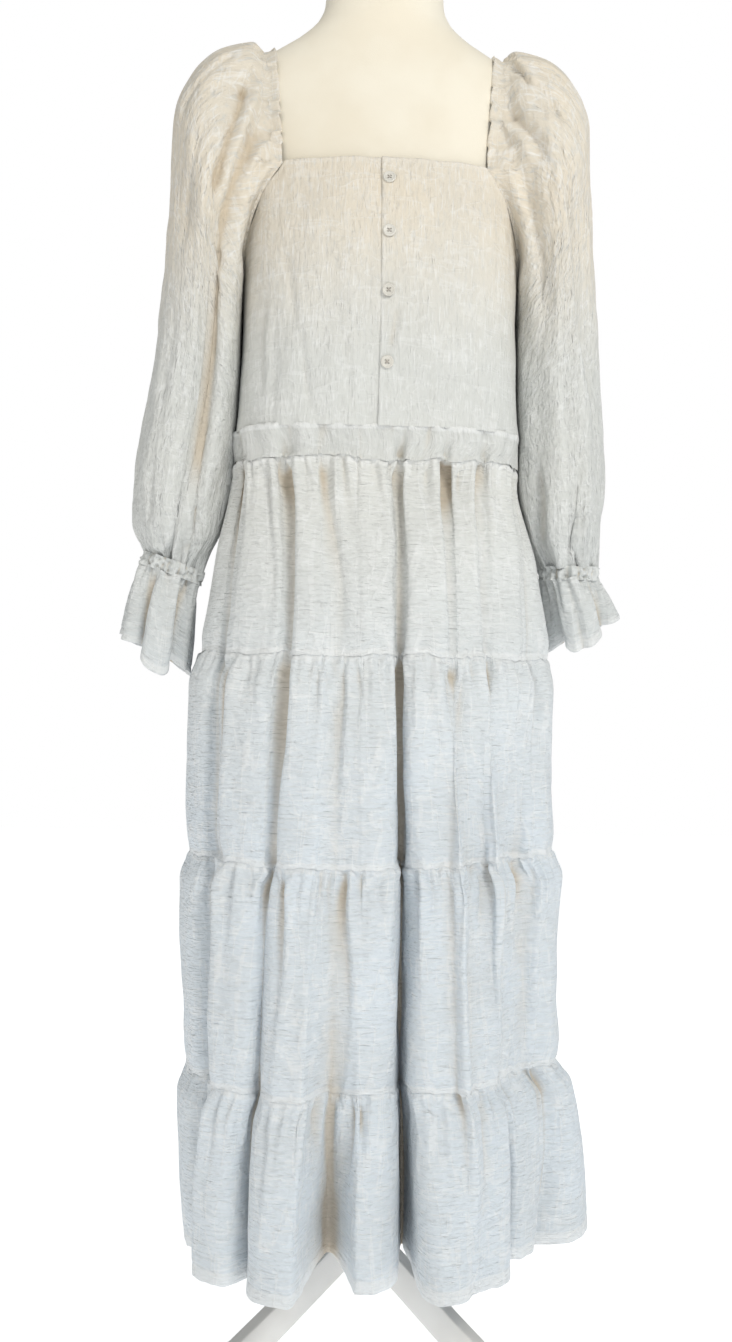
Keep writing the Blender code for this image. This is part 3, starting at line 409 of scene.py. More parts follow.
# Main gathers below each seam, on the front: place round the skirt, then depth, length and half width in
# millimetres
FRONT_GATHERS = (
    (
        (6.0, 5.0, 210, 8), (8.3, 3.2, 230, 8), (10.4, 4.0, 190, 6), (13.2, 5.5, 230, 7), (15.4, 2.0, 60, 5),
        (17.9, 4.0, 200, 6), (20.0, 2.0, 60, 5), (22.0, 2.5, 80, 5), (25.4, 3.8, 230, 6), (28.0, 2.0, 50, 5),
        (30.2, 4.5, 210, 7), (33.0, 2.0, 60, 5), (35.2, 4.5, 200, 6), (38.4, 3.0, 90, 6), (40.5, 4.5, 220, 7),
        (43.5, 4.0, 180, 6),
    ),
    (
        (3.6, 3.0, 60, 5), (8.5, 7.5, 320, 9), (10.3, 3.5, 60, 5), (13.3, 6.0, 210, 7), (14.4, 2.5, 45, 4),
        (15.7, 3.0, 55, 4), (17.2, 3.0, 50, 4), (18.4, 4.5, 160, 5), (19.6, 3.0, 50, 4), (21.5, 3.0, 70, 5),
        (22.8, 2.5, 45, 4), (25.2, 5.0, 190, 6), (26.5, 3.0, 60, 4), (27.8, 3.0, 50, 4), (29.3, 4.0, 160, 5),
        (30.7, 3.0, 60, 4), (32.6, 3.0, 60, 4), (33.5, 2.5, 45, 4), (36.0, 4.0, 190, 4), (39.7, 3.5, 70, 5),
        (42.3, 4.0, 170, 4),
    ),
    (
        (8.4, 7.5, 320, 9), (9.7, 3.0, 55, 4), (10.7, 3.0, 60, 4), (12.5, 3.5, 70, 4), (14.4, 6.0, 210, 6),
        (15.4, 3.0, 50, 4), (16.4, 3.0, 60, 4), (18.0, 3.0, 50, 4), (19.2, 4.0, 180, 5), (20.5, 3.0, 60, 4),
        (22.0, 3.5, 70, 5), (26.4, 4.0, 120, 5), (27.4, 3.0, 60, 4), (28.5, 3.0, 50, 4), (30.2, 3.0, 60, 4),
        (34.0, 3.0, 60, 4), (36.6, 4.5, 170, 5), (40.1, 3.0, 60, 4), (41.7, 3.0, 50, 4), (43.6, 4.0, 120, 5),
    ),
    (
        (8.5, 6.5, 240, 8), (9.6, 3.5, 60, 4), (10.4, 2.5, 45, 3), (14.5, 4.0, 120, 5), (15.2, 3.0, 50, 3),
        (16.3, 3.5, 70, 4), (17.7, 3.0, 60, 4), (18.6, 3.0, 50, 4), (19.7, 3.5, 70, 4), (21.0, 3.0, 60, 4),
        (26.0, 3.5, 70, 4), (26.9, 3.0, 50, 4), (27.8, 3.5, 80, 4), (32.7, 3.5, 80, 4), (33.9, 3.0, 60, 4),
        (35.0, 3.0, 70, 4), (38.2, 3.5, 70, 4), (41.6, 3.5, 70, 4), (42.5, 3.0, 50, 4), (44.7, 4.0, 90, 5),
    ),
)
FRONT_GATHER_PLACES = (3.0, 46.0)
HIDDEN_GATHERS = 34
HIDDEN_SEED = 40
# Small puckers at each seam: seed, how many, and how much deeper, longer and wider they are than plain ones
PUCKERS = {
    "tier_top": (60, 120, 2.2, 1.3, 1.25),
    "tier_bottom": (61, 120, 0.7, 0.8, 1.2),
    "band_top": (71, 64, 1.3, 1.2, 2.2),
    "band_bottom": (72, 60, 1.3, 1.2, 2.2),
    "sleeve_head": (100, 90, 1.4, 1.0, 1.2),
    "sleeve_head_broad": (104, 40, 2.0, 2.4, 2.0),
    "sleeve_wrist": (108, 46, 1.7, 1.6, 1.5),
    "ruffle_top": (140, 40, 2.2, 1.3, 1.4),
}
# Soft dents of each kind of cloth: seed, height, and steps across and down, in metres, but as shares for the
# puckers round the wrist
DENTS = {
    "tier": ((10, 0.0018, 0.040, 0.080), (20, 0.0011, 0.013, 0.034)),
    "hem": ((35, 0.0012, 0.009, 0.5),),
    "band": ((73, 0.0008, 0.014, 0.06),),
    "panel": ((0, 0.0011, 0.022, 0.060), (1, 0.0008, 0.009, 0.040)),
    "panel_waist": ((2, 0.0009, 0.006, 0.06),),
    "sleeve": ((110, 0.0020, 0.030, 0.070), (114, 0.0013, 0.012, 0.030), (122, 0.0006, 0.006, 0.014)),
    "casing": ((118, 0.0030, 0.0075, 0.5), (126, 0.0018, 0.0050, 0.0080)),
    "wrist": ((130, 0.0034, 0.0060, 0.0042),),
    "wrist_round": ((150, 0.7, 1.0 / 26.0, 1.0), (154, 0.6, 1.0 / 52.0, 1.0)),
    "ruffle": ((144, 0.0013, 0.020, 0.030), (148, 0.0005, 0.007, 0.012)),
}
# Seeds of the dents in the front halves and the back
FRONT_SEED = 80
BACK_SEED = 90
# Noises along a seam, for its wander, its slow drift and its teeth: seed, and step in places round the skirt
SEAM_NOISES = ((200, 0.45), (220, 2.4), (30, 0.17))
# Teeth of the waistband's upper edge: steps across and down in metres, and seed
BAND_TEETH = (0.0034, 0.5, 74)

# Lamps: place, the spot they face, size in metres, watts and colour
LAMPS = {
    "key": ((1.05, -2.1, 2.45), (0.0, 0.0, 1.0), 0.8, 34.5, (1.0, 0.97, 0.91)),
    "fill": ((-2.2, -1.8, 1.6), (0.0, 0.0, 0.9), 2.0, 10.0, (1.0, 0.86, 0.68)),
    "back": ((0.8, 2.4, 2.2), (0.0, 0.0, 0.9), 1.6, 14.0, (1.0, 0.99, 0.97)),
}
# The surroundings' light, and the floor and the surround that the camera sees
WORLD_COLOUR = (0.93, 0.98, 1.0, 1.0)
WORLD_LIGHT = 0.43
FLOOR_GLOW = 0.68
FLOOR_HALF = 6.0
SURROUND_RADIUS = 9.0

# Colours, in linear light
# White of the bodice, sleeves, bands and ruffles, darker than the skirt's white of the same gauze: painted
# shade that tones down the stronger light on the bodice and sleeves
WHITE = (0.630, 0.640, 0.620)
SKIRT_WHITE = (0.715, 0.720, 0.695)
# Cooler white low down: painted cool light, with some of the cloth's own cooler tone
COOL_LIGHT_WHITE = (0.680, 0.738, 0.795)
# Cream near the top: painted warm light on the upper body
WARM_LIGHT_CREAM = (0.725, 0.655, 0.545)
# Warm tan laid into valleys and creases: painted shade
TAN = (0.55, 0.46, 0.34)
# Lighter white of slubs and doubled cloth, which is the cloth's own, and painted highlight on the crinkle lines
BRIGHT = (0.84, 0.85, 0.855)
# Darker grey of random patches, and painted shade in the troughs of the crinkle's main lines
DIM = (0.55, 0.56, 0.55)
CRINKLE_LINE_WIDTH = 0.05
# Counts a metre in every gauze: lumps, threads, worn patches and patches of crinkle lines
LUMPS = 95.0
THREADS = 1600.0
WORN_PATCHES = 9.0
LINE_PATCHES = 42.0
# Heights between which the skirt's painted cool light turns into the main colour, and that into the painted
# warm light of cream near the top
COOL_HEIGHTS = (0.70, 1.14)
CREAM_HEIGHTS = (1.20, 1.44)
# How many slubs there are for each main line, along the lines and across them
SLUBS_ALONG = 0.7
SLUBS_ACROSS = 2.2
# Gauzes: main colour, main lines a metre across and down, height of the crinkle and of its lumps, painted
# shade in the main lines' troughs, fine lines a metre across and down for those that run down and those that
# run across, and the share of painted highlight on the fine lines
GAUZES = {
    "skirt": (SKIRT_WHITE, (70.0, 330.0), 0.0026, 0.0024, 0.30, (60.0, 10.0), (12.0, 95.0), 0.30),
    "bodice": (WHITE, (260.0, 60.0), 0.0018, 0.0018, 0.30, (160.0, 18.0), (20.0, 60.0), 0.18),
    "sleeve": (WHITE, (240.0, 75.0), 0.0030, 0.0026, 0.55, (140.0, 24.0), (36.0, 90.0), 0.26),
    "ruffle": (WHITE, (70.0, 300.0), 0.0026, 0.0022, 0.45, (60.0, 14.0), (14.0, 95.0), 0.28),
    "band": (WHITE, (300.0, 60.0), 0.0020, 0.0018, 0.35, (120.0, 16.0), (30.0, 90.0), 0.20),
}
# Plain finishes: light and dark tone, roughness, grain a metre and its height, sheen and gloss
FINISHES = {
    "form_cover": ((0.82, 0.77, 0.66), (0.78, 0.72, 0.60), 0.8, 900.0, 0.0002, 0.1, 0.3),
    "stand_paint": ((0.80, 0.80, 0.79), (0.72, 0.71, 0.69), 0.45, 500.0, 0.0002, 0.0, 0.5),
    "button_shell": ((0.68, 0.66, 0.61), (0.60, 0.58, 0.53), 0.3, 700.0, 0.0001, 0.0, 0.5),
    "button_thread": ((0.50, 0.46, 0.42), (0.40, 0.36, 0.32), 0.8, 3000.0, 0.0001, 0.0, 0.5),
}


def smooth_step(value):
    """A soft 0 to 1 ramp."""
    share = np.clip(value, 0.0, 1.0)
    return share * share * (3.0 - 2.0 * share)


def bell(away, width):
    """A soft bump: 1 in the middle, fading to 0 within a few widths."""
    return np.exp(-(away / width) ** 2)


def smooth_curve(knots, values, keys):
    """Read values given at knots at other keys, with a smooth curve that never overshoots them."""
    steps = np.diff(knots).reshape((-1,) + (1,) * (values.ndim - 1))
    slopes = np.diff(values, axis=0) / steps
    tangents = np.zeros_like(values)
    tangents[0] = slopes[0]
    tangents[-1] = slopes[-1]
    same_way = slopes[:-1] * slopes[1:] > 0.0
    total = np.where(same_way, slopes[:-1] + slopes[1:], 1.0)
    tangents[1:-1] = np.where(same_way, 2.0 * slopes[:-1] * slopes[1:] / total, 0.0)
    keys = np.clip(keys, knots[0], knots[-1])
    i = np.clip(np.searchsorted(knots, keys) - 1, 0, len(knots) - 2)
    step = (knots[i + 1] - knots[i]).reshape((-1,) + (1,) * (values.ndim - 1))
    t = (keys - knots[i]).reshape(step.shape) / step
    blend = t * t * (3.0 - 2.0 * t)
    curve = values[i] * (1.0 - blend) + values[i + 1] * blend
    return curve + tangents[i] * step * t * (1.0 - t) ** 2 + tangents[i + 1] * step * t * t * (t - 1.0)


def read_table(rows, keys):
    """Read a table's columns at one key or many."""
    table = np.array(sorted(rows), dtype=float)
    read = smooth_curve(table[:, 0], table[:, 1:], np.atleast_1d(np.asarray(keys, dtype=float)))
    return read if np.ndim(keys) else read[0]


def section_points(left, right, front, back, square, turns):
    """Points of rounded-square sections; turns are in radians from the front towards the viewer's right."""
    across = np.sin(turns)
    along = np.cos(turns)
    reach = (np.abs(across) ** square + np.abs(along) ** square) ** (-1.0 / square)
    x = across * reach * np.where(across > 0.0, right, left)
    y = -along * reach * np.where(along > 0.0, front, back)
    return x, y


def outline_points(outline, turns, heights):
    """Points of the surface that an outline table describes."""
    table = read_table(outline, heights.ravel())
    half, front, back, square = (column.reshape(heights.shape) for column in table.T)
    x, y = section_points(half, half, front, back, square, turns)
    return np.stack((x, y, heights), axis=-1)


def unit(vectors):
    """Vectors scaled to length 1."""
    return vectors / np.maximum(np.linalg.norm(vectors, axis=-1, keepdims=True), 1e-9)


def even_turns(count):
    """Turns spread evenly round a full circle, in radians."""
    return FULL_TURN * np.arange(count) / count


def turn_gap(turns, turn):
    """How far turns lie past one turn, from minus to plus half a circle, in radians."""
    return (turns - turn + math.pi) % FULL_TURN - math.pi


def grid_normals(grid, closed):
    """Outward directions of a grid: its rows run down, and its columns to the viewer's right on the front."""
    if closed:
        across = np.roll(grid, -1, axis=1) - np.roll(grid, 1, axis=1)
    else:
        across = np.gradient(grid, axis=1)
    return unit(np.cross(np.gradient(grid, axis=0), across))


def cloth_lengths(grid):
    """Length along each row of a closed cloth from its first column, and the whole row's length."""
    steps = np.linalg.norm(np.roll(grid, -1, axis=1) - grid, axis=-1)
    lengths = np.concatenate((np.zeros((len(grid), 1)), np.cumsum(steps, axis=1)[:, :-1]), axis=1)
    return lengths, steps.sum(axis=1)


def over_rows(values, field):
    """One value a row, spread over a field of rows and columns."""
    return np.broadcast_to(values[:, None], field.shape)


def middle_row(lengths, rounds):
    """The lengths along the middle row, spread over all rows, and that row's whole length."""
    middle = len(lengths) // 2
    return np.broadcast_to(lengths[middle], lengths.shape), rounds[middle]


def soft_noise(across, down, step_across, step_down, seed, period):
    """Smooth noise from -1 to 1 over a cloth, in lumps of the given steps; it closes after a period across."""
    count = max(int(round(period / step_across)), 3)
    x = across / period * count
    y = (down - down.min()) / step_down
    rows = int(y.max()) + 3
    values = np.random.default_rng(seed).uniform(-1.0, 1.0, (rows, count))
    column = np.floor(x).astype(int)
    row = np.floor(y).astype(int)
    u = smooth_step(x - column)
    v = smooth_step(y - row)
    near = values[row, column % count] * (1.0 - u) + values[row, (column + 1) % count] * u
    far = values[row + 1, column % count] * (1.0 - u) + values[row + 1, (column + 1) % count] * u
    return near * (1.0 - v) + far * v


def soft_dents(kind, shift, across, down, period):
    """The soft dents of one kind of cloth; a shift of the seeds gives each piece its own."""
    return sum(height * soft_noise(across, down, step_across, step_down, seed + shift, period)
               for seed, height, step_across, step_down in DENTS[kind])


def blur(values, reach, closed):
    """Values averaged along the columns, three times over, within a reach in columns."""
    for _ in range(3):
        padded = np.pad(values, ((0, 0), (reach + 1, reach)), mode="wrap" if closed else "edge")
        sums = np.cumsum(padded, axis=1)
        values = (sums[:, 2 * reach + 1:] - sums[:, :-2 * reach - 1]) / (2 * reach + 1)
    return values


def valley_shares(grid, closed, reach, full):
    """How deep each point lies in a valley, from 0 to 1, next to the cloth within a reach in columns."""
    normals = grid_normals(grid, closed)
    mean = np.stack([blur(grid[..., k], reach, closed) for k in range(3)], axis=-1)
    return np.clip(((mean - grid) * normals).sum(axis=-1) / full, 0.0, 1.0)


def painted_valley_shade(shares, pull, full=CREASE_SHADE_DEPTH):
    """Painted warm shade in the valleys and creases, from 0 to 1, growing fast to the deepest line."""
    return np.clip(0.9 * shares + np.clip(pull / full, 0.0, 1.0) ** 3, 0.0, 1.0)


def gather_pull(lengths, rounds, down, columns_a_place, gathers):
    """How far gathers pull the cloth in: each has a place, depth, length, half width and lean to the right."""
    pull = np.zeros_like(lengths)
    rows = np.arange(len(lengths))
    whole = rounds[:, None]
    for place, depth, length, width, lean in gathers:
        column = int(round(place * columns_a_place)) % lengths.shape[1]
        away = lengths - lengths[rows, column][:, None]
        away = (away + whole / 2.0) % whole - whole / 2.0
        wander = GATHER_WANDER * np.sin(GATHER_WAVE * down + 5.0 * place)
        away = away + wander * np.clip(down / 0.04, 0.0, 1.0)
        spread = 1.35 * width * (1.0 + 0.7 * np.clip(down / length, 0.0, 1.0))
        # A leaning gather is steep on one side and gentle on the other, with a ridge past the steep side
        steep = 1.0 - 0.6 * abs(lean)
        gentle = 1.0 + 1.6 * abs(lean)
        leaned = away * (1.0 if lean >= 0.0 else -1.0) / spread
        shape = (leaned / np.where(leaned > 0.0, steep, gentle)) ** 2
        ridge = abs(lean) * bell(leaned - 1.9 * steep, 1.1 * steep)
        fade = np.exp(-(np.clip(down, 0.0, None) / length) ** 1.6)
        pull += depth * fade * ((1.0 - 0.8 * shape) * np.exp(-shape) - 0.45 * ridge)
    return pull


def crease_pull(grid, normals, side, behind, lines):
    """How far creases pull the cloth in: lines seen from the front, or mirrored on the back."""
    facing = smooth_step(normals[..., 1] * (1.0 if behind else -1.0) / FACING_RAMP)
    x = grid[..., 0] * side * (-1.0 if behind else 1.0)
    z = grid[..., 2]
    pull = np.zeros_like(x)
    for depth, left, right, *spots in lines:
        spots = np.array(spots) * MM
        spans = np.hypot(*np.diff(spots, axis=0).T)
        starts = np.concatenate(((0.0,), np.cumsum(spans)))
        nearest = np.full(x.shape, 1.0)
        away = np.full(x.shape, 1.0)
        share = np.zeros_like(x)
        for start, end, span, before in zip(spots[:-1], spots[1:], spans, starts):
            step = end - start
            t = np.clip(((x - start[0]) * step[0] + (z - start[1]) * step[1]) / span ** 2, 0.0, 1.0)
            far = np.hypot(x - start[0] - t * step[0], z - start[1] - t * step[1])
            to_right = step[0] * (z - start[1]) - step[1] * (x - start[0]) > 0.0
            closer = far < nearest
            nearest = np.where(closer, far, nearest)
            away = np.where(closer, np.where(to_right, far, -far), away)
            share = np.where(closer, (before + t * span) / starts[-1], share)
        taper = smooth_step(share / 0.12 + 0.15) * smooth_step((1.0 - share) / 0.25)
        steep_side = 1.0 if right <= left else -1.0
        narrow = min(left, right) * MM
        width = np.where(away > 0.0, right, left) * MM
        ridge = bell(away * steep_side - 2.0 * narrow, 1.2 * narrow)
        pull += depth * MM * taper * (bell(away, width) - 0.4 * ridge)
    return pull * facing


def row_shares(count, crowd):
    """Shares of the way down, closer together at both ends."""
    t = np.linspace(0.0, 1.0, count)
    return t - crowd * np.sin(FULL_TURN * t) / FULL_TURN


def turned_rows(grid, normals, at_end, gap, turned):
    """Turn a grid's edge under: its rows and the ones folded behind them, as row numbers and as points."""
    rows = np.arange(len(grid))
    edge = rows[-1] if at_end else 0
    inner = rows[::-1][:turned] if at_end else rows[:turned]
    away = unit(grid[edge] - grid[edge - 1 if at_end else 1])
    bend = grid[edge] + away * BEND_REACH - normals[edge] * gap / 2.0
    under = grid[inner] - normals[inner] * gap
    if at_end:
        return np.concatenate((rows, (edge,), inner)), np.concatenate((grid, bend[None], under))
    numbers = np.concatenate((inner[::-1], (edge,), rows))
    return numbers, np.concatenate((under[::-1], bend[None], grid))


def pulled_in(grid, normals, pull):
    """A grid moved out by half the cloth's thickness and in by its pull."""
    return grid + normals * (WALL / 2.0 - pull)[..., None]


def add_object(name, data):
    """Add a mesh, a camera or a light to the scene."""
    piece = bpy.data.objects.new(name, data)
    bpy.context.scene.collection.objects.link(piece)
    return piece


def add_mesh(name, points, faces, material):
    """Add one named piece, moved from the body's axis to the stand's footprint."""
    mesh = bpy.data.meshes.new(name)
    mesh.from_pydata((np.asarray(points) + AXIS).tolist(), [], faces)
    mesh.materials.append(material)
    mesh.shade_smooth()
    mesh.validate()
    piece = add_object(name, mesh)
    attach(piece, "root")
    return piece


def add_cloth(name, node, grid, closed, fields, material, mirrored=False):
    """Add a grid of points as one sheet that stands for a node of the part.

    The fields are each point's place on the flat cloth, across and down, and how far it lies in a valley,
    which sets its painted shade, and in a doubled edge.
    """
    across, drop, valleys, double = fields
    rows, columns = grid.shape[:2]
    spans = columns if closed else columns - 1
    row, column = np.meshgrid(np.arange(rows - 1), np.arange(spans), indexing="ij")
    row = row.ravel()
    column = column.ravel()
    after = (column + 1) % columns
    corners = np.stack((row * columns + column, (row + 1) * columns + column,
                        (row + 1) * columns + after, row * columns + after), axis=1)
    spots = np.stack((across, -drop), axis=-1).reshape(-1, 2)[corners]
    if closed:
        last = column == columns - 1
        whole = across[:, -1] + (across[:, -1] - across[:, -2])
        spots[last, 2, 0] = whole[row[last] + 1]
        spots[last, 3, 0] = whole[row[last]]
    points = grid.reshape(-1, 3)
    if mirrored:
        points = points * MIRROR
        corners = corners[:, ::-1]
        spots = spots[:, ::-1]
    piece = add_mesh(name, points, corners.tolist(), material)
    layer = piece.data.uv_layers.new(name="cloth")
    layer.data.foreach_set("uv", spots.reshape(-1).astype(np.float32))
    for kind, field in (("valley", valleys), ("double", double)):
        values = piece.data.attributes.new(kind, "FLOAT", "POINT")
        values.data.foreach_set("value", field.reshape(-1).astype(np.float32))
    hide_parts(node)
    return piece


def fill_inputs(tree, node, inputs):
    """Set or link a node's inputs, given by name or number."""
    for name, value in inputs.items():
        if isinstance(value, bpy.types.NodeSocket):
            tree.links.new(value, node.inputs[name])
        else:
            node.inputs[name].default_value = value


def new_material(name, roughness, specular=0.5, sheen=0.0):
    """A material with its node tree and its Principled shader."""
    material = bpy.data.materials.new(name)
    material.use_nodes = True
    tree = material.node_tree
    shader = tree.nodes["Principled BSDF"]
    fill_inputs(tree, shader, {"Roughness": roughness, "Specular IOR Level": specular,
                               "Sheen Weight": sheen, "Sheen Roughness": 0.6})
    return material, tree, shader


def noise_node(tree, vector, scale, detail=2.0, roughness=0.5, distortion=0.0):
    """A noise texture on a vector."""
    node = tree.nodes.new("ShaderNodeTexNoise")
    fill_inputs(tree, node, {"Vector": vector, "Scale": scale, "Detail": detail,
                             "Roughness": roughness, "Distortion": distortion})
    return node.outputs["Fac"]


def stretched_noise(tree, vector, scale, *settings):
    """A noise texture on a flat vector with its own scale across and down."""
    node = tree.nodes.new("ShaderNodeMapping")
    fill_inputs(tree, node, {"Vector": vector, "Scale": (*scale, 1.0)})
    return noise_node(tree, node.outputs["Vector"], 1.0, *settings)


def range_node(tree, value, low, high, to_low=0.0, to_high=1.0):
    """A value's range mapped to another, softly and within bounds."""
    node = tree.nodes.new("ShaderNodeMapRange")
    node.interpolation_type = "SMOOTHSTEP"
    fill_inputs(tree, node, {"Value": value, "From Min": low, "From Max": high,
                             "To Min": to_low, "To Max": to_high})
    return node.outputs["Result"]


def mix_node(tree, share, first, second):
    """Two colours, given as numbers or sockets, mixed by a share."""
    node = tree.nodes.new("ShaderNodeMix")
    node.data_type = "RGBA"
    colours = [(*colour, 1.0) if isinstance(colour, tuple) else colour for colour in (first, second)]
    fill_inputs(tree, node, {"Factor": share, "A": colours[0], "B": colours[1]})
    return node.outputs["Result"]


def math_node(tree, operation, *values):
    """One step of arithmetic on numbers or sockets."""
    node = tree.nodes.new("ShaderNodeMath")
    node.operation = operation
    fill_inputs(tree, node, dict(enumerate(values)))
    return node.outputs["Value"]


def bump_node(tree, height, distance, strength=1.0, normal=None):
    """A bump of a height socket, over another bump if one is given."""
    node = tree.nodes.new("ShaderNodeBump")
    fill_inputs(tree, node, {"Strength": strength, "Distance": distance, "Height": height})
    if normal is not None:
        tree.links.new(normal, node.inputs["Normal"])
    return node.outputs["Normal"]


def crinkle_lines(tree, vector, scale, kept):
    """Thin, broken crinkle lines: where a stretched noise crosses its middle, kept in patches."""
    noise = stretched_noise(tree, vector, scale, 2.0, 0.5, 0.6)
    away = math_node(tree, "ABSOLUTE", math_node(tree, "SUBTRACT", noise, 0.5))
    line = range_node(tree, away, 0.0, CRINKLE_LINE_WIDTH, 1.0, 0.0)
    patches = range_node(tree, noise_node(tree, vector, LINE_PATCHES, 1.0), kept, kept + 0.12)
    return math_node(tree, "MULTIPLY", line, patches)


def gauze(name, base, ripple, crinkle, lump, trough_shade, down_lines, cross_lines, crinkle_highlight):
    """Crinkled gauze, with the settings that a row of GAUZES gives."""
    material, tree, shader = new_material(name, roughness=0.9, specular=0.15, sheen=0.08)
    place = tree.nodes.new("ShaderNodeUVMap")
    place.uv_map = "cloth"
    flat = place.outputs["UV"]
    lines = stretched_noise(tree, flat, ripple, 3.0, 0.55, 0.35)
    lumps = noise_node(tree, flat, LUMPS, 2.0, 0.5, 0.4)
    slub_lines = [count * (SLUBS_ALONG if count == min(ripple) else SLUBS_ACROSS) for count in ripple]
    slubs = stretched_noise(tree, flat, slub_lines, 1.0)
    threads = stretched_noise(tree, flat, (THREADS, THREADS), 1.0)
    patches = noise_node(tree, flat, WORN_PATCHES, 2.0)
    down_crinkles = crinkle_lines(tree, flat, down_lines, 0.36)
    cross_crinkles = crinkle_lines(tree, flat, cross_lines, 0.38)
    split = tree.nodes.new("ShaderNodeSeparateXYZ")
    tree.links.new(tree.nodes.new("ShaderNodeTexCoord").outputs["Object"], split.inputs["Vector"])
    height = split.outputs["Z"]
    stored = {}
    for kind in ("valley", "double"):
        node = tree.nodes.new("ShaderNodeAttribute")
        node.attribute_name = kind
        stored[kind] = node.outputs["Fac"]
    # Layers of colour: what each follows, its low and high value, the share laid on at them, and the colour
    layers = (
        # Painted warm light: cream towards the top
        (height, *CREAM_HEIGHTS, 0.0, 1.0, WARM_LIGHT_CREAM),
        # Painted shade in the troughs of the main crinkle lines, where their bump is low
        (lines, 0.30, 0.50, trough_shade, 0.0, DIM),
        (patches, 0.35, 0.70, 0.0, 0.22, DIM),
        (slubs, 0.58, 0.74, 0.0, 0.40, BRIGHT),
        # Painted highlights on the thin crinkle lines
        (down_crinkles, 0.0, 1.0, 0.0, crinkle_highlight, BRIGHT),
        (cross_crinkles, 0.0, 1.0, 0.0, crinkle_highlight, BRIGHT),
        (stored["double"], 0.0, 1.0, 0.0, 0.45, BRIGHT),
        # Painted shade: warm tan in the valleys and creases
        (stored["valley"], 0.0, 1.0, 0.0, 0.72, TAN),
    )
    # Painted cool light: cooler white low down, partly the cloth's own tone
    tone = mix_node(tree, range_node(tree, height, *COOL_HEIGHTS), COOL_LIGHT_WHITE, base)
    for value, low, high, at_low, at_high, colour in layers:
        tone = mix_node(tree, range_node(tree, value, low, high, at_low, at_high), tone, colour)
    bumps = ((lumps, lump, 1.0), (lines, crinkle, 1.0), (down_crinkles, 0.0002, 1.0),
             (cross_crinkles, 0.0002, 1.0), (slubs, 0.0003, 1.0), (threads, 0.0001, 0.5))
    normal = None
    for value, distance, strength in bumps:
        normal = bump_node(tree, value, distance, strength, normal)
    rough = range_node(tree, slubs, 0.3, 0.8, 0.94, 0.80)
    fill_inputs(tree, shader, {"Base Color": tone, "Roughness": rough, "Normal": normal})
    return material


def plain_finish(name, base, dark, roughness, grain, bump, sheen, specular):
    """A covered or painted surface: two tones in soft patches, and a fine grain."""
    material, tree, shader = new_material(name, roughness, specular, sheen)
    solid = tree.nodes.new("ShaderNodeTexCoord").outputs["Object"]
    patches = noise_node(tree, solid, 12.0, 3.0)
    fine = noise_node(tree, solid, grain, 2.0)
    tone = mix_node(tree, range_node(tree, patches, 0.35, 0.7), base, dark)
    rough = range_node(tree, fine, 0.3, 0.7, roughness - 0.06, roughness + 0.06)
    fill_inputs(tree, shader, {"Base Color": tone, "Roughness": rough, "Normal": bump_node(tree, fine, bump)})
    return material


def skirt_levels(heights):
    """The skirt folds' turns and depths and the lobes' set-back at each height, and each fold's openness."""
    keys = (BAND_TOP, *SKIRT_SEAMS[1:])
    reads = [read_table(zip(keys, fold[:5], fold[5:10], lobe), heights)
             for fold, lobe in zip(SKIRT_FOLDS, SKIRT_LOBES)]
    turns, depths, backs = np.moveaxis(np.array(reads), 2, 0)
    return np.radians(turns.T), depths.T * MM, backs.T * MM, [fold[10] for fold in SKIRT_FOLDS]


def skirt_turns(turns, opens, places):
    """The turn of each place round the skirt, FOLD_PLACES to a fold, close together at a fold's bottom."""
    gaps = np.diff(np.concatenate((turns, turns[:, :1] + FULL_TURN), axis=1), axis=1)
    knots = []
    for fold in range(turns.shape[1]):
        turn = turns[:, fold]
        gap = gaps[:, fold]
        after = opens[(fold + 1) % len(opens)]
        knots.append(turn - FOLD_BOTTOM * opens[fold] * gaps[:, fold - 1])
        for share in (FOLD_BOTTOM * opens[fold], FOLD_FLANK * opens[fold], FOLD_CROWN,
                      1.0 - FOLD_CROWN, 1.0 - FOLD_FLANK * after):
            knots.append(turn + share * gap)
    knots = np.array(knots)
    padded = np.concatenate((knots[-3:] - FULL_TURN, knots, knots[:4] + FULL_TURN))
    return smooth_curve(np.arange(-3.0, len(knots) + 4.0), padded, places).T


def skirt_surface(heights, places, tucks, fold_share=1.0):
    """The skirt's middle surface at heights and places, each row pulled in by its own tuck."""
    left, right, front, back, square = (column[:, None] for column in read_table(SKIRT_OUTLINE, heights).T)
    turns, depths, backs, opens = skirt_levels(heights)
    rise = read_table(SKIRT_RISE, heights)
    middles = 0.5 + FOLD_PLACES * np.arange(len(opens))
    away = (places[None] - middles[:, None] + SKIRT_PLACES / 2.0) % SKIRT_PLACES - SKIRT_PLACES / 2.0
    troughs = np.exp(-(np.abs(away) / FOLD_REACH) ** FOLD_POWER)
    lobe = np.floor((places - 0.5) / FOLD_PLACES).astype(int) % len(opens)
    shown = fold_share * read_table(FOLD_SHARE, heights)[:, :1]
    between = np.maximum(1.0 - troughs.sum(axis=0), 0.0)
    depth = shown * (depths @ troughs) + backs[:, lobe] * between + tucks[:, None]
    turn = skirt_turns(turns, opens, places)
    before, here, after = (section_points(left, right, front, back, square, turn + nudge)
                           for nudge in (-TURN_NUDGE, 0.0, TURN_NUDGE))
    along_x = after[0] - before[0]
    along_y = after[1] - before[1]
    straight = unit(np.stack((along_y * np.abs(along_y), -along_x * np.hypot(along_x, along_y)), axis=-1))
    x = here[0] - depth * straight[..., 0]
    y = here[1] - depth * straight[..., 1]
    z = heights[:, None] + rise * np.clip(x / right, 0.0, 1.0)
    return np.stack((x, y, z), axis=-1)


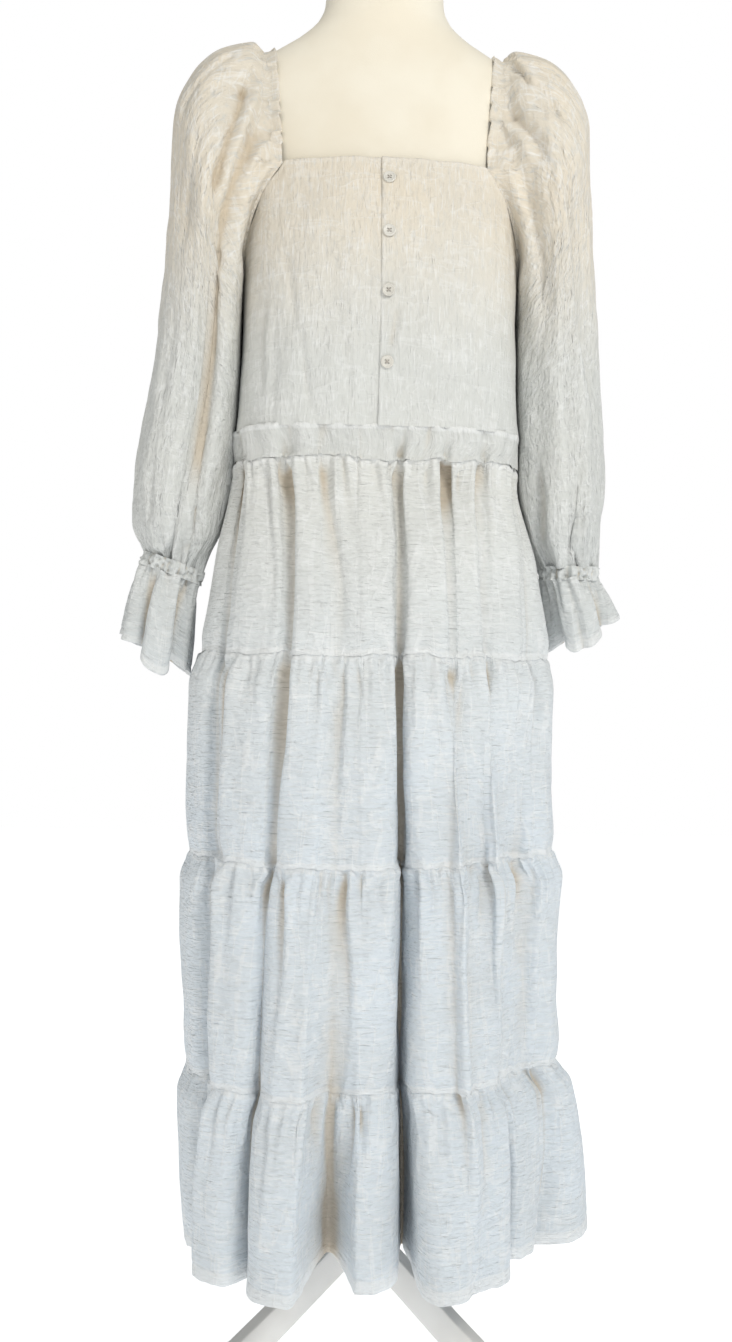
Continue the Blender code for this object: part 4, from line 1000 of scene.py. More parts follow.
def hidden_gathers(number):
    """Main gathers for the places that the photograph doesn't show, like those in front but in other places."""
    random = np.random.default_rng(HIDDEN_SEED + number)
    count = HIDDEN_GATHERS
    start, end = FRONT_GATHER_PLACES
    spread = np.arange(count) + random.uniform(-0.35, 0.35, count)
    places = end + spread / count * (SKIRT_PLACES - end + start)
    depths = random.uniform(0.0022, 0.0055, count)
    is_long = random.uniform(size=count) < 0.3
    lengths = np.where(is_long, random.uniform(0.14, 0.22, count), random.uniform(0.04, 0.09, count))
    widths = random.uniform(0.0035, 0.007, count)
    leans = random.uniform(-0.8, 0.8, count)
    return list(zip(places % SKIRT_PLACES, depths, lengths, widths, leans))


def front_gathers(number):
    """The main gathers listed for the front of a tier, leaning towards its middle."""
    gathers = []
    for place, depth, length, width in FRONT_GATHERS[number]:
        lean = FRONT_LEAN if place < FRONT_LEAN_TURN else -FRONT_LEAN
        gathers.append((place, depth * MM * GATHER_DEPTH, length * MM, width * MM, lean))
    return gathers


def small_gathers(kind, shift, whole):
    """Small puckers all round a seam, unevenly spaced; a shift of the seed gives each piece its own."""
    seed, count, deeper, longer, wider = PUCKERS[kind]
    random = np.random.default_rng(seed + shift)
    places = (np.arange(count) + random.uniform(-0.45, 0.45, count)) / count * whole
    depths = random.uniform(0.0005, 0.0022, count) * deeper
    lengths = random.uniform(0.008, 0.040, count) * longer
    widths = random.uniform(0.0016, 0.0032, count) * wider
    leans = random.uniform(-0.6, 0.6, count)
    return list(zip(places, depths, lengths, widths, leans))


def seam_wave(number):
    """A seam's small wander up and down, and its uneven teeth, the same for the cloth above and below it."""
    level = np.zeros_like(SKIRT_COLUMNS)
    wander, drift, teeth = (soft_noise(SKIRT_COLUMNS, level, step, 1.0, seed + number, SKIRT_PLACES)
                            for seed, step in SEAM_NOISES)
    return wander * SEAM_WANDER + drift * SEAM_DRIFT, teeth


def seam_lip(up, teeth):
    """How far the cloth above a seam stands out along it, more at some teeth than at others."""
    return SEAM_LIP * bell(up, SEAM_LIP_WIDTH) * (0.6 + 0.5 * teeth)


def skirt_tier(number, material):
    """One tier of the skirt, numbered from the waist, gathered into the seam above it."""
    last = number == len(SKIRT_SEAMS) - 2
    top = SKIRT_SEAMS[number] + SEAM_OVERLAP
    bottom = SKIRT_SEAMS[number + 1] + (0.0 if last else SEAM_GAP / 2.0)
    heights = top + (bottom - top) * row_shares(TIER_ROWS, 0.6)
    down = SKIRT_SEAMS[number] - heights
    up = heights - bottom
    tucks = SEAM_TUCK * bell(down, TUCK_REACH) * (number > 0)
    if not last:
        tucks = tucks + SEAM_TUCK * bell(up, TUCK_REACH)
    grid = skirt_surface(heights, SKIRT_COLUMNS, tucks)
    lengths, rounds = cloth_lengths(grid)
    normals = grid_normals(grid, True)
    across, period = middle_row(lengths, rounds)
    drop = over_rows(down, lengths)
    rise = over_rows(up, lengths)
    main = front_gathers(number) + hidden_gathers(number)
    pull = gather_pull(lengths, rounds, drop, COLUMNS_A_PLACE, main)
    pull *= smooth_step(drop / GATHER_OPENING + GATHER_START)
    above = small_gathers("tier_top", number, SKIRT_PLACES)
    pull += gather_pull(lengths, rounds, drop, COLUMNS_A_PLACE, above)
    if not last:
        below = small_gathers("tier_bottom", number, SKIRT_PLACES)
        pull += gather_pull(lengths, rounds, rise, COLUMNS_A_PLACE, below)
    pull += soft_dents("tier", number, across, drop, period)
    pull *= smooth_step((drop + 0.001) / 0.005)
    wander, teeth = seam_wave(number)
    grid[..., 2] += wander * bell(drop, SEAM_FADE)
    pull += SEAM_STEP * smooth_step(1.0 - drop / 0.002)
    pull -= SEAM_PUFF * bell(drop - SEAM_PUFF_DOWN, SEAM_PUFF_WIDTH) * (0.7 + 0.5 * teeth)
    if last:
        ragged = soft_dents("hem", 0, across, drop, period)
        grid[..., 2] += ragged * smooth_step(1.0 - up / RAGGED_REACH)[:, None]
        pull += HEM_STITCH * bell(rise - HEM_BAND, HEM_STITCH_WIDTH)
        double = smooth_step((HEM_BAND - rise) / 0.002 + 0.5)
    else:
        pull *= smooth_step((rise + 0.0005) / 0.006)
        wander, teeth = seam_wave(number + 1)
        grid[..., 2] += wander * bell(rise, SEAM_FADE)
        pull -= seam_lip(rise, teeth)
        double = smooth_step((SEAM_ALLOWANCE - rise) / 0.002 + 0.5)
    at_top = smooth_step((0.0045 - np.abs(drop - 0.003)) / 0.003) * (0.4 + 0.6 * (teeth > 0.0))
    grid = pulled_in(grid, normals, pull)
    fields = (across, drop, painted_valley_shade(valley_shares(grid, True, 12, 0.012), pull), np.maximum(double, at_top))
    if last:
        numbers, grid = turned_rows(grid, grid_normals(grid, True), True, HEM_FOLD, 6)
        fields = [field[numbers] for field in fields]
    return add_cloth(f"gauze_tier_{number + 1}", f"skirt_tier_{number + 1}", grid, True, fields, material)


def waistband(material):
    """The gathered band between the bodice and the skirt, with its upper edge toothed by the gathers."""
    heights = np.linspace(BAND_TOP + BAND_LAP, SKIRT_SEAMS[0], BAND_ROWS)
    opened = smooth_step((BAND_TOP - heights) / (BAND_TOP - SKIRT_SEAMS[0]))[:, None]
    grid = skirt_surface(heights, SKIRT_COLUMNS, np.zeros(len(heights)), opened)
    lengths, rounds = cloth_lengths(grid)
    normals = grid_normals(grid, True)
    down = over_rows(BAND_TOP - heights, lengths)
    up = over_rows(heights - SKIRT_SEAMS[0], lengths)
    pull = soft_dents("band", 0, lengths, down, rounds[0])
    for kind, away in (("band_top", down), ("band_bottom", up)):
        pull += gather_pull(lengths, rounds, away, COLUMNS_A_PLACE, small_gathers(kind, 0, SKIRT_PLACES))
    pull *= smooth_step(up / 0.004)
    wander, teeth = seam_wave(0)
    grid[..., 2] += wander * bell(up, 0.01)
    pull -= seam_lip(up, teeth)
    teeth = soft_noise(lengths, down, *BAND_TEETH, rounds[0])
    grid[..., 2] += 0.0007 * teeth * smooth_step(1.0 - down / 0.006)
    pull -= 0.0011 * bell(down - 0.0012, 0.0022) * (0.7 + 0.6 * teeth)
    pull += 0.0012 * smooth_step((-down - 0.0008) / 0.0010)
    double = smooth_step((0.004 - np.abs(down - 0.001)) / 0.002)
    grid = pulled_in(grid, normals, pull - BAND_LIFT)
    # How deep the band lies in its valleys sets its painted shade
    fields = (lengths, down, valley_shares(grid, True, 7, 0.004), double)
    return add_cloth("gauze_waistband", "waistband", grid, True, fields, material)


def turn_at(half, square, x):
    """The turn at which a section with this half width reaches x."""
    across = np.minimum(x / half, 1.0)
    return np.arctan2(across, (1.0 - across ** square) ** (1.0 / square))


def raglan_spots(shares, neckline):
    """Turns and heights of points of the raglan seam, by share from the underarm to the neckline."""
    rise, reach = read_table(RAGLAN, shares).T
    heights = UNDERARM + (neckline - UNDERARM) * rise
    half, _, _, square = read_table(BODICE_OUTLINE, heights).T
    return turn_at(half, square, half * reach), heights


def panel_grid(neckline, start_turn):
    """Half a bodice panel from the middle to the side seam, rows running down from its shaped top edge."""
    seam_turn = math.radians(SIDE_SEAM_TURN)
    corner_low = math.radians(WAIST_CORNER_TURN)
    corner_turn = raglan_spots(np.array((1.0,)), neckline)[0][0]
    neck = np.arange(NECK_STEPS) / NECK_STEPS
    raglan = np.arange(RAGLAN_STEPS + 1) / RAGLAN_STEPS
    raglan_turns, raglan_heights = raglan_spots(1.0 - raglan, neckline)
    neck_turns = start_turn + (corner_turn - start_turn) * neck
    turns = np.concatenate((neck_turns, np.minimum(raglan_turns, seam_turn)))
    heights = np.concatenate((np.full(NECK_STEPS, neckline), raglan_heights))
    under_neck = start_turn + (corner_low - start_turn) * neck
    low_turns = np.concatenate((under_neck, corner_low + (seam_turn - corner_low) * raglan))
    shares = row_shares(PANEL_ROWS, 0.3)[:, None]
    turns = turns + (low_turns - turns) * shares
    return outline_points(BODICE_OUTLINE, turns, heights + (PANEL_BOTTOM - heights) * shares)


def finish_panel(name, node, grid, material, mirrored, shift, turn_front):
    """Give a bodice panel its surface: creases, the crinkled cloth's soft dents, and its turned neck edge."""
    normals = grid_normals(grid, False)
    height = grid[..., 2]
    side = -1.0 if mirrored else 1.0
    across = grid[..., 0] * side + PANEL_PERIOD / 2.0
    waist = np.exp((BAND_TOP - height) / 0.014)
    pull = soft_dents("panel", shift, across, -height, PANEL_PERIOD)
    pull += waist * soft_dents("panel_waist", shift, across, -height, PANEL_PERIOD)
    creases = crease_pull(grid, normals, side, False, BODICE_CREASES)
    creases += crease_pull(grid, normals, side, True, BODICE_CREASES)
    double = np.zeros_like(height)
    double[:4] = 0.3
    grid = pulled_in(grid, normals, pull + creases)
    valleys = painted_valley_shade(valley_shares(grid, False, 6, 0.006), creases)
    numbers, grid = turned_rows(grid, normals, False, EDGE_FOLD, 6)
    *fields, normals = (field[numbers] for field in (across, -height, valleys, double, normals))
    if turn_front:
        fields[3][:, :2] = 0.35
        numbers, grid = turned_rows(grid.swapaxes(0, 1), normals.swapaxes(0, 1), False, EDGE_FOLD, 5)
        grid = grid.swapaxes(0, 1)
        fields = [field[:, numbers] for field in fields]
    return add_cloth(name, node, grid, False, fields, material, mirrored)


def bodice_front(side, material):
    """A front half; the viewer's right one is lapped over the left one at the buttons."""
    half, _, _, square = read_table(BODICE_OUTLINE, UNDERARM)
    middle = PLACKET_EDGE if side > 0 else -PLACKET_UNDER
    grid = panel_grid(NECKLINE_FRONT, math.copysign(turn_at(half, square, abs(middle)), middle))
    if side < 0:
        grid[..., 1] += smooth_step((LAP_START - grid[..., 0]) / LAP_RAMP) * (WALL + 2.0 * SEAM_GAP)
    word = SIDE_WORDS[side]
    names = (f"gauze_front_{word}", f"bodice_front_{word}")
    return finish_panel(*names, grid, material, side < 0, FRONT_SEED + side, True)


def bodice_back(material):
    """The back in one piece, from side seam to side seam."""
    half = panel_grid(NECKLINE_BACK, 0.0)
    table = read_table(BODICE_OUTLINE, half[..., 2].ravel())
    half[..., 1] *= -(table[:, 2] / table[:, 1]).reshape(half.shape[:2])
    grid = np.concatenate((half[:, :0:-1] * MIRROR, half), axis=1)[:, ::-1]
    return finish_panel("gauze_back", "bodice_back", grid, material, False, BACK_SEED, False)


def surface_frame(outline, turns, heights):
    """Points and outward directions of an outline's surface at turns and heights."""
    nudge = 0.001
    along = outline_points(outline, turns + nudge, heights) - outline_points(outline, turns - nudge, heights)
    up = outline_points(outline, turns, heights + nudge) - outline_points(outline, turns, heights - nudge)
    return outline_points(outline, turns, heights), unit(np.cross(along, up))


def to_back(spots, outward, front, back):
    """Points and directions of a front surface turned to the back, whose reach differs."""
    share = (back / front)[:, None]
    spots = spots * np.concatenate((np.ones_like(share), -share, np.ones_like(share)), axis=1)
    outward = outward * np.concatenate((np.ones_like(share), -1.0 / share, np.ones_like(share)), axis=1)
    return spots, unit(outward)


def shoulder_height(x):
    """The height of the form's shoulder line at a distance from the middle."""
    low, high = SHOULDER_LINE_RANGE
    for _ in range(40):
        middle = (low + high) / 2.0
        if read_table(FORM_OUTLINE, middle)[0] > x:
            low = middle
        else:
            high = middle
    return low


def sleeve_edge(steps):
    """The sleeve's upper edge, steps to a quarter: up the front seam, over the shoulder, down the back seam."""
    raglan = np.arange(steps) / steps
    spots = []
    outwards = []
    for neckline, shares in ((NECKLINE_FRONT, raglan), (NECKLINE_BACK, 1.0 - raglan)):
        turns, heights = raglan_spots(shares, neckline)
        spot, outward = surface_frame(BODICE_OUTLINE, turns, heights)
        if neckline == NECKLINE_BACK:
            _, front, back, _ = read_table(BODICE_OUTLINE, heights).T
            spot, outward = to_back(spot, outward, front, back)
        spots.append(spot)
        outwards.append(outward)
    strap = np.arange(2 * steps) / (2 * steps)
    rise = np.sin(math.pi * strap)
    corner_x = read_table(BODICE_OUTLINE, NECKLINE_FRONT)[0] * RAGLAN[-1][2]
    x = corner_x + (STRAP_TOP_X - corner_x) * rise
    low = np.where(strap < 0.5, NECKLINE_FRONT, NECKLINE_BACK)
    heights = low + (shoulder_height(STRAP_TOP_X) - low) * rise
    half, front, back, square = read_table(FORM_OUTLINE, heights).T
    spot, outward = surface_frame(FORM_OUTLINE, turn_at(half, square, x), heights)
    behind, behind_outward = to_back(spot, outward, front, back)
    is_back = (strap > 0.5)[:, None]
    spot = np.where(is_back, behind, spot)
    outward = np.where(is_back, behind_outward, outward)
    lift = STRAP_LIFT_CORNER + (STRAP_LIFT_TOP - STRAP_LIFT_CORNER) * rise
    spots.insert(1, spot + outward * lift[:, None])
    outwards.insert(1, outward)
    return np.concatenate(spots), np.concatenate(outwards)


def ring_frame(ring):
    """A flat sleeve ring's middle, its direction across, half its width, and the axis of its plane."""
    inner = np.array((ring[0], 0.0, ring[1]))
    outer = np.array((ring[2], 0.0, ring[3]))
    across = unit(outer - inner)
    axis = np.array((-across[2], 0.0, across[0]))
    return (inner + outer) / 2.0, across, np.linalg.norm(outer - inner) / 2.0, axis


def flat_ring(ring, count, shift=0.0, pull=0.0):
    """Points round a sleeve ring, moved along its axis, each pulled towards the middle by its own amount."""
    middle, across, half, axis = ring_frame(ring)
    turns = even_turns(count)
    reach = np.where(np.sin(turns) > 0.0, ring[4], ring[5])
    points = -np.cos(turns)[:, None] * across * half
    points[:, 1] -= reach * np.sin(turns)
    points = points * (1.0 - pull / np.linalg.norm(points, axis=1))[:, None]
    return middle + axis * shift + points


def sleeve_pull(side, progress, count):
    """How far each column of a sleeve ring is pulled in by the folds."""
    shares = np.arange(count) / count
    pull = np.zeros(count)
    for fold in SLEEVE_FOLDS[side]:
        share, depth = read_table(zip((0.0, 0.55, 1.0), fold[:3], fold[3:6]), progress)
        away = (shares - share + 0.5) % 1.0 - 0.5
        pull += depth * MM * bell(away, fold[6])
    return pull


def sleeve_grid(side, spots, outwards, on_strap):
    """The sleeve's middle surface, how far down each row lies, and the directions away from its upper edge."""
    count = len(spots)
    tangents = np.roll(spots, -1, axis=0) - np.roll(spots, 1, axis=0)
    away = unit(np.cross(tangents, outwards))
    first = spots + away * SEAM_GAP * (1.0 - on_strap)
    step_away = SEAM_STEP_AWAY + (CASING_HEIGHT - SEAM_STEP_AWAY) * on_strap
    step_out = SEAM_STEP_OUT + (CASING_LIFT - SEAM_STEP_OUT) * on_strap
    rows = [first, first + away * step_away + outwards * step_out]
    rings = SLEEVE_HEAD + SLEEVE_END[side]
    for i, ring in enumerate(rings):
        rows.append(flat_ring(ring, count, 0.0, sleeve_pull(side, i / (len(rings) - 1), count)))
    rows = np.array(rows)
    knots = np.concatenate(((0.0,), np.cumsum(np.linalg.norm(np.diff(rows, axis=0), axis=-1).mean(axis=1))))
    keys = knots[-1] * row_shares(SLEEVE_ROWS, 0.5)
    return smooth_curve(knots, rows, keys), keys, away


def body_side(points):
    """How far the bodice or the skirt reaches sideways at each point's height and depth."""
    heights = points[..., 2].ravel()
    low = read_table(SKIRT_OUTLINE, heights)
    high = read_table(BODICE_OUTLINE, heights)
    above = heights > BAND_TOP
    half = np.where(above, high[:, 0], low[:, 1])
    reach = np.where(above, high[:, 1], low[:, 2])
    square = np.where(above, high[:, 3], low[:, 4])
    inside = np.clip(np.abs(points[..., 1].ravel()) / reach, 0.0, 1.0)
    return (half * (1.0 - inside ** square) ** (1.0 / square)).reshape(points.shape[:-1])


def press_to_body(grid, normals, drop):
    """How far a sleeve's inner wall is moved towards the body that it hangs against."""
    room = grid[..., 0] - body_side(grid) - SLEEVE_CLEARANCE
    near = smooth_step(1.0 - np.abs(grid[..., 1]) / PRESS_REACH) * smooth_step(-normals[..., 0] / FACING_RAMP)
    level = smooth_step((PRESS_TOP - grid[..., 2]) / 0.03) * smooth_step((grid[..., 2] - PRESS_BOTTOM) / 0.05)
    return np.clip(room, 0.0, PRESS_MOST) * near * level * smooth_step((drop - 0.002) / 0.012)


def sleeve(side, material):
    """A raglan sleeve, gathered over the shoulder and at the wrist."""
    steps = SLEEVE_PLACES * SLEEVE_STEPS_PER_PLACE // 4
    spots, outwards = sleeve_edge(steps)
    place = np.arange(len(spots)) / steps
    on_strap = (smooth_step((place - 1.0) * 8.0) * smooth_step((3.0 - place) * 8.0))[:, None]
    grid, keys, away = sleeve_grid(side, spots, outwards, on_strap)
    lengths, rounds = cloth_lengths(grid)
    across, period = middle_row(lengths, rounds)
    normals = grid_normals(grid, True)
    normals[0] = unit(outwards)
    drop = over_rows(keys, lengths)
    rise = keys[-1] - drop
    strap = on_strap[:, 0][None]
    head = small_gathers("sleeve_head", side, SLEEVE_PLACES)
    head += small_gathers("sleeve_head_broad", side, SLEEVE_PLACES)
    wrist = small_gathers("sleeve_wrist", side, SLEEVE_PLACES)
    pull = strap * gather_pull(lengths, rounds, drop - 0.008, SLEEVE_STEPS_PER_PLACE, head)
    pull += gather_pull(lengths, rounds, rise, SLEEVE_STEPS_PER_PLACE, wrist)
    body = smooth_step(drop / 0.03) * smooth_step(rise / 0.02)
    pull += body * soft_dents("sleeve", side, across, drop, period)
    creases = crease_pull(grid, normals, side, False, SLEEVE_CREASES[side])
    creases += crease_pull(grid, normals, side, True, SLEEVE_CREASES[-side])
    pull += creases
    casing = strap * smooth_step(1.0 - (drop - 0.010) / 0.016)
    pull += casing * (soft_dents("casing", side, lengths, drop, rounds[0]) - 0.0020)
    pull += strap * 0.0010 * bell(drop - 0.0140, 0.0020)
    shallow = CASING_DEEPEST + (SLEEVE_DEEPEST - CASING_DEEPEST) * smooth_step((drop - 0.012) / 0.022)
    pull = np.where(strap > 0.0, np.minimum(pull, shallow + (1.0 - strap) * SLEEVE_DEEPEST), pull)
    pull += bell(rise, 0.020) * wrist_puckers(len(spots), side)
    pull -= (1.0 - strap) * 0.0004 * bell(drop - 0.002, 0.0016)
    grid = pulled_in(grid, normals, pull)
    grid[..., 0] -= press_to_body(grid, normals, drop)
    valleys = painted_valley_shade(valley_shares(grid, True, 8, 0.020), creases, SLEEVE_SHADE_DEPTH)
    double = 0.1 * strap * smooth_step((0.013 - drop) / 0.003)
    inward = (CASING_TURN_IN * on_strap + SEAM_GAP) * outwards
    roll = away * CASING_ROLL * on_strap
    lip = [grid[0] - inward * share - roll * shift for share, shift in ((1.0, -1.0), (0.45, 0.6))]
    numbers = np.concatenate((np.zeros(len(lip), dtype=int), np.arange(len(keys))))
    fields = [field[numbers] for field in (across, drop, valleys, double)]
    word = SIDE_WORDS[side]
    grid = np.concatenate((lip, grid))
    return add_cloth(f"gauze_sleeve_{word}", f"sleeve_{word}", grid, True, fields, material, side < 0)


def wrist_puckers(count, side):
    """How far the wrist's puckers pull in each column, the same for the sleeve, the channel and the ruffle."""
    shares = np.arange(count) / count
    return WRIST_PUCKER * soft_dents("wrist_round", side, shares, np.zeros_like(shares), 1.0)


def wrist_band(side, material):
    """The tight, messy puckers of the elastic channel round the wrist."""
    keys = np.linspace(-WRIST_LAP, CASING_HEIGHT + WRIST_LAP, WRIST_ROWS)
    grid = np.array([flat_ring(SLEEVE_END[side][-1], WRIST_COLUMNS, -key) for key in keys])
    lengths, rounds = cloth_lengths(grid)
    drop = over_rows(keys, lengths)
    share = drop / CASING_HEIGHT
    pull = wrist_puckers(WRIST_COLUMNS, side) + soft_dents("wrist", side, lengths, drop, rounds[0])
    pull += 0.0008 * (bell(share - 0.12, 0.10) + bell(share - 0.88, 0.10)) + WRIST_SINK
    grid = pulled_in(grid, grid_normals(grid, True), pull)
    # How deep the channel lies in its valleys sets its painted shade
    fields = (lengths, drop, valley_shares(grid, True, 5, 0.003), np.zeros_like(lengths))
    word = SIDE_WORDS[side]
    return add_cloth(f"gauze_wrist_{word}", f"wrist_band_{word}", grid, True, fields, material, side < 0)


def ruffle_grid(side):
    """The ruffle's middle surface with its lobes, and each row's share of the way down."""
    wrist = np.array(SLEEVE_END[side][-1])
    end = np.array(RUFFLE_END[side])
    _, _, _, axis = ring_frame(wrist)
    wrist[:4] += np.array((axis[0], axis[2], axis[0], axis[2])) * (-CASING_HEIGHT - 1.5 * SEAM_GAP)
    turns = even_turns(RUFFLE_COLUMNS)
    lower = np.zeros(RUFFLE_COLUMNS)
    for turn, depth, width in RUFFLE_DROPS[side]:
        lower += depth * MM * np.exp(-(turn_gap(turns, turn) / width) ** 4)
    wave = np.zeros(RUFFLE_COLUMNS)
    for turn, depth, before, after in RUFFLE_VALLEYS[side]:
        gap = turn_gap(turns, turn)
        wave += depth * MM * bell(gap, np.where(gap > 0.0, after, before))
    shares = row_shares(RUFFLE_ROWS, 0.35)
    rows = []
    for share in shares:
        opening = share ** RUFFLE_FLARE
        ring = wrist + (end - wrist) * np.array((opening, share, opening, share, opening, opening))
        pull = share ** RUFFLE_VALLEY_GROWTH * (wave - RUFFLE_SPREAD)
        rows.append(flat_ring(ring, RUFFLE_COLUMNS, 0.0, pull))
        rows[-1][:, 2] += share * (RUFFLE_SCALLOP * wave - lower)
    return np.array(rows), shares


def cuff_ruffle(side, material):
    """The flared ruffle below the wrist, with its lobes and its turned hem."""
    grid, shares = ruffle_grid(side)
    lengths, rounds = cloth_lengths(grid)
    across, period = middle_row(lengths, rounds)
    normals = grid_normals(grid, True)
    height = np.linalg.norm(grid[-1].mean(axis=0) - grid[0].mean(axis=0))
    drop = over_rows(shares * height, lengths)
    rise = height - drop
    pull = gather_pull(lengths, rounds, drop, 1.0, small_gathers("ruffle_top", side, RUFFLE_COLUMNS))
    pull += soft_dents("ruffle", side, across, drop, period) * smooth_step(drop / 0.01)
    pull += HEM_STITCH * bell(rise - CUFF_HEM_BAND, CUFF_STITCH_WIDTH)
    pull += bell(drop, 0.022) * wrist_puckers(RUFFLE_COLUMNS, side)
    grid = pulled_in(grid, normals, pull)
    double = smooth_step((CUFF_HEM_BAND - rise) / 0.002 + 0.5)
    # How deep the ruffle lies in its valleys sets its painted shade
    fields = (across, drop, valley_shares(grid, True, 13, 0.006), double)
    numbers, grid = turned_rows(grid, grid_normals(grid, True), True, HEM_FOLD, 5)
    fields = [field[numbers] for field in fields]
    word = SIDE_WORDS[side]
    return add_cloth(f"gauze_ruffle_{word}", f"cuff_ruffle_{word}", grid, True, fields, material, side < 0)


def tube_faces(rows, count, first=0):
    """The faces between rows of equal rings of points, numbered on from a first point."""
    faces = []
    for row in range(rows - 1):
        for column in range(count):
            a = first + row * count + column
            b = first + row * count + (column + 1) % count
            faces.append((a, b, b + count, a + count))
    return faces


def stacked_rings(rings):
    """Close a stack of equal rings, first one lowest, with a fan at each end."""
    count = len(rings[0])
    top = (len(rings) - 1) * count
    faces = tube_faces(len(rings), count)
    faces.append(tuple(range(count - 1, -1, -1)))
    faces.append(tuple(range(top, top + count)))
    return np.concatenate(rings), faces


def dress_form(material):
    """The smooth torso and neck, with a rounded rim under its plain cap."""
    heights = np.linspace(FORM_OUTLINE[0][0], FORM_OUTLINE[-1][0], FORM_ROWS)
    turns = even_turns(FORM_COLUMNS)
    rings = [outline_points(FORM_OUTLINE, turns, np.full(len(turns), height)) for height in heights]
    neck = rings[-1]
    for share, lift in FORM_CAP:
        rings.append(neck * np.array((share, share, 1.0)) + np.array((0.0, 0.0, lift)))
    piece = add_mesh("form_torso", *stacked_rings(rings), material)
    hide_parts("dress_form")


def round_ring(radius, height, count, start=0.0):
    """A level circle of points about the stand's pole."""
    turns = start + even_turns(count)
    return np.stack((radius * np.cos(turns), radius * np.sin(turns), np.full(count, height)), axis=1)


def add_bevelled(name, node, rings, bevel, material):
    """Add a stack of rings as one piece, its sharp edges rounded off."""
    piece = add_mesh(name, *stacked_rings(rings), material)
    shape = bmesh.new()
    shape.from_mesh(piece.data)
    sharp = [edge for edge in shape.edges if edge.calc_face_angle(0.0) > SHARP_TURN]
    bmesh.ops.bevel(shape, geom=sharp, offset=bevel, segments=3, profile=0.5, affect="EDGES")
    shape.to_mesh(piece.data)
    shape.free()
    piece.data.shade_smooth()
    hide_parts(node)


def stand(material):
    """The pole, the six-sided hub and three slanted leg boards."""
    turn = math.radians(STAND_TURN)
    radius = HUB_HALF / math.cos(math.pi / 6.0)
    pole_ends = (HUB_TOP + SEAM_GAP, FORM_OUTLINE[0][0] - SEAM_GAP)
    pole = [round_ring(POLE_RADIUS, height, 48) for height in pole_ends]
    hub = [round_ring(radius, height, 6, turn) for height in (HUB_BOTTOM, HUB_TOP)]
    add_bevelled("stand_tube", "stand_pole", pole, POLE_BEVEL, material)
    add_bevelled("stand_block", "stand_hub", hub, HUB_BEVEL, material)
    keys, lows, highs = zip(*LEG_EDGES)
    distances = (HUB_HALF + SEAM_GAP, *keys[1:])
    low = np.interp(distances, keys, lows)
    high = np.interp(distances, keys, highs)
    for word, heading in LEG_HEADINGS:
        angle = math.radians(heading) + turn
        out = np.array((math.cos(angle), math.sin(angle), 0.0))
        across = np.array((-math.sin(angle), math.cos(angle), 0.0)) * LEG_THICK / 2.0
        rings = []
        for distance, bottom, top in zip(distances, low, high):
            corners = ((-1.0, bottom), (1.0, bottom), (1.0, top), (-1.0, top))
            rings.append([out * distance + across * way + (0.0, 0.0, height) for way, height in corners])
        add_bevelled(f"stand_board_{word}", f"stand_leg_{word}", rings, LEG_BEVEL, material)


def button_mesh():
    """A dished round button with a rolled rim and four sewing holes, its underside at the origin."""
    points, faces = stacked_rings([round_ring(radius, height, 40) for radius, height in BUTTON_PROFILE])
    mesh = bpy.data.meshes.new("button_blank")
    mesh.from_pydata(points.tolist(), [], faces)
    drill = bmesh.new()
    for x in (-BUTTON_HOLE_STEP, BUTTON_HOLE_STEP):
        for y in (-BUTTON_HOLE_STEP, BUTTON_HOLE_STEP):
            bmesh.ops.create_cone(drill, cap_ends=True, segments=14, depth=0.01, radius1=BUTTON_HOLE_RADIUS,
                                  radius2=BUTTON_HOLE_RADIUS, matrix=Matrix.Translation((x, y, 0.0)))
    drill_mesh = bpy.data.meshes.new("button_drill")
    drill.to_mesh(drill_mesh)
    drill.free()
    blank = add_object("button_blank", mesh)
    cutter = add_object("button_drill", drill_mesh)
    cut = blank.modifiers.new("holes", "BOOLEAN")
    cut.operation = "DIFFERENCE"
    cut.solver = "EXACT"
    cut.object = cutter
    finished = bpy.data.meshes.new_from_object(blank.evaluated_get(bpy.context.evaluated_depsgraph_get()))
    for helper in (blank, cutter):
        bpy.data.objects.remove(helper)
    return finished


def thread_points():
    """Two crossed stitches of thread through a button's holes, each a thin arched strand."""
    reach = BUTTON_HOLE_STEP * math.sqrt(2.0)
    points = []
    faces = []
    for strand, turn in enumerate((math.pi / 4.0, -math.pi / 4.0)):
        along = np.array((math.cos(turn), math.sin(turn), 0.0))
        over = np.array((-math.sin(turn), math.cos(turn), 0.0))
        for bend in np.linspace(-1.0, 1.0, THREAD_RINGS):
            middle = along * reach * bend
            middle[2] = BUTTON_PROFILE[-1][1] + THREAD_ARCH * (1.0 - 2.0 * bend ** 4)
            for side in even_turns(THREAD_SIDES):
                points.append(middle + (over * math.cos(side) + (0.0, 0.0, math.sin(side))) * THREAD_RADIUS)
        faces += tube_faces(THREAD_RINGS, THREAD_SIDES, strand * THREAD_RINGS * THREAD_SIDES)
    return np.array(points), faces


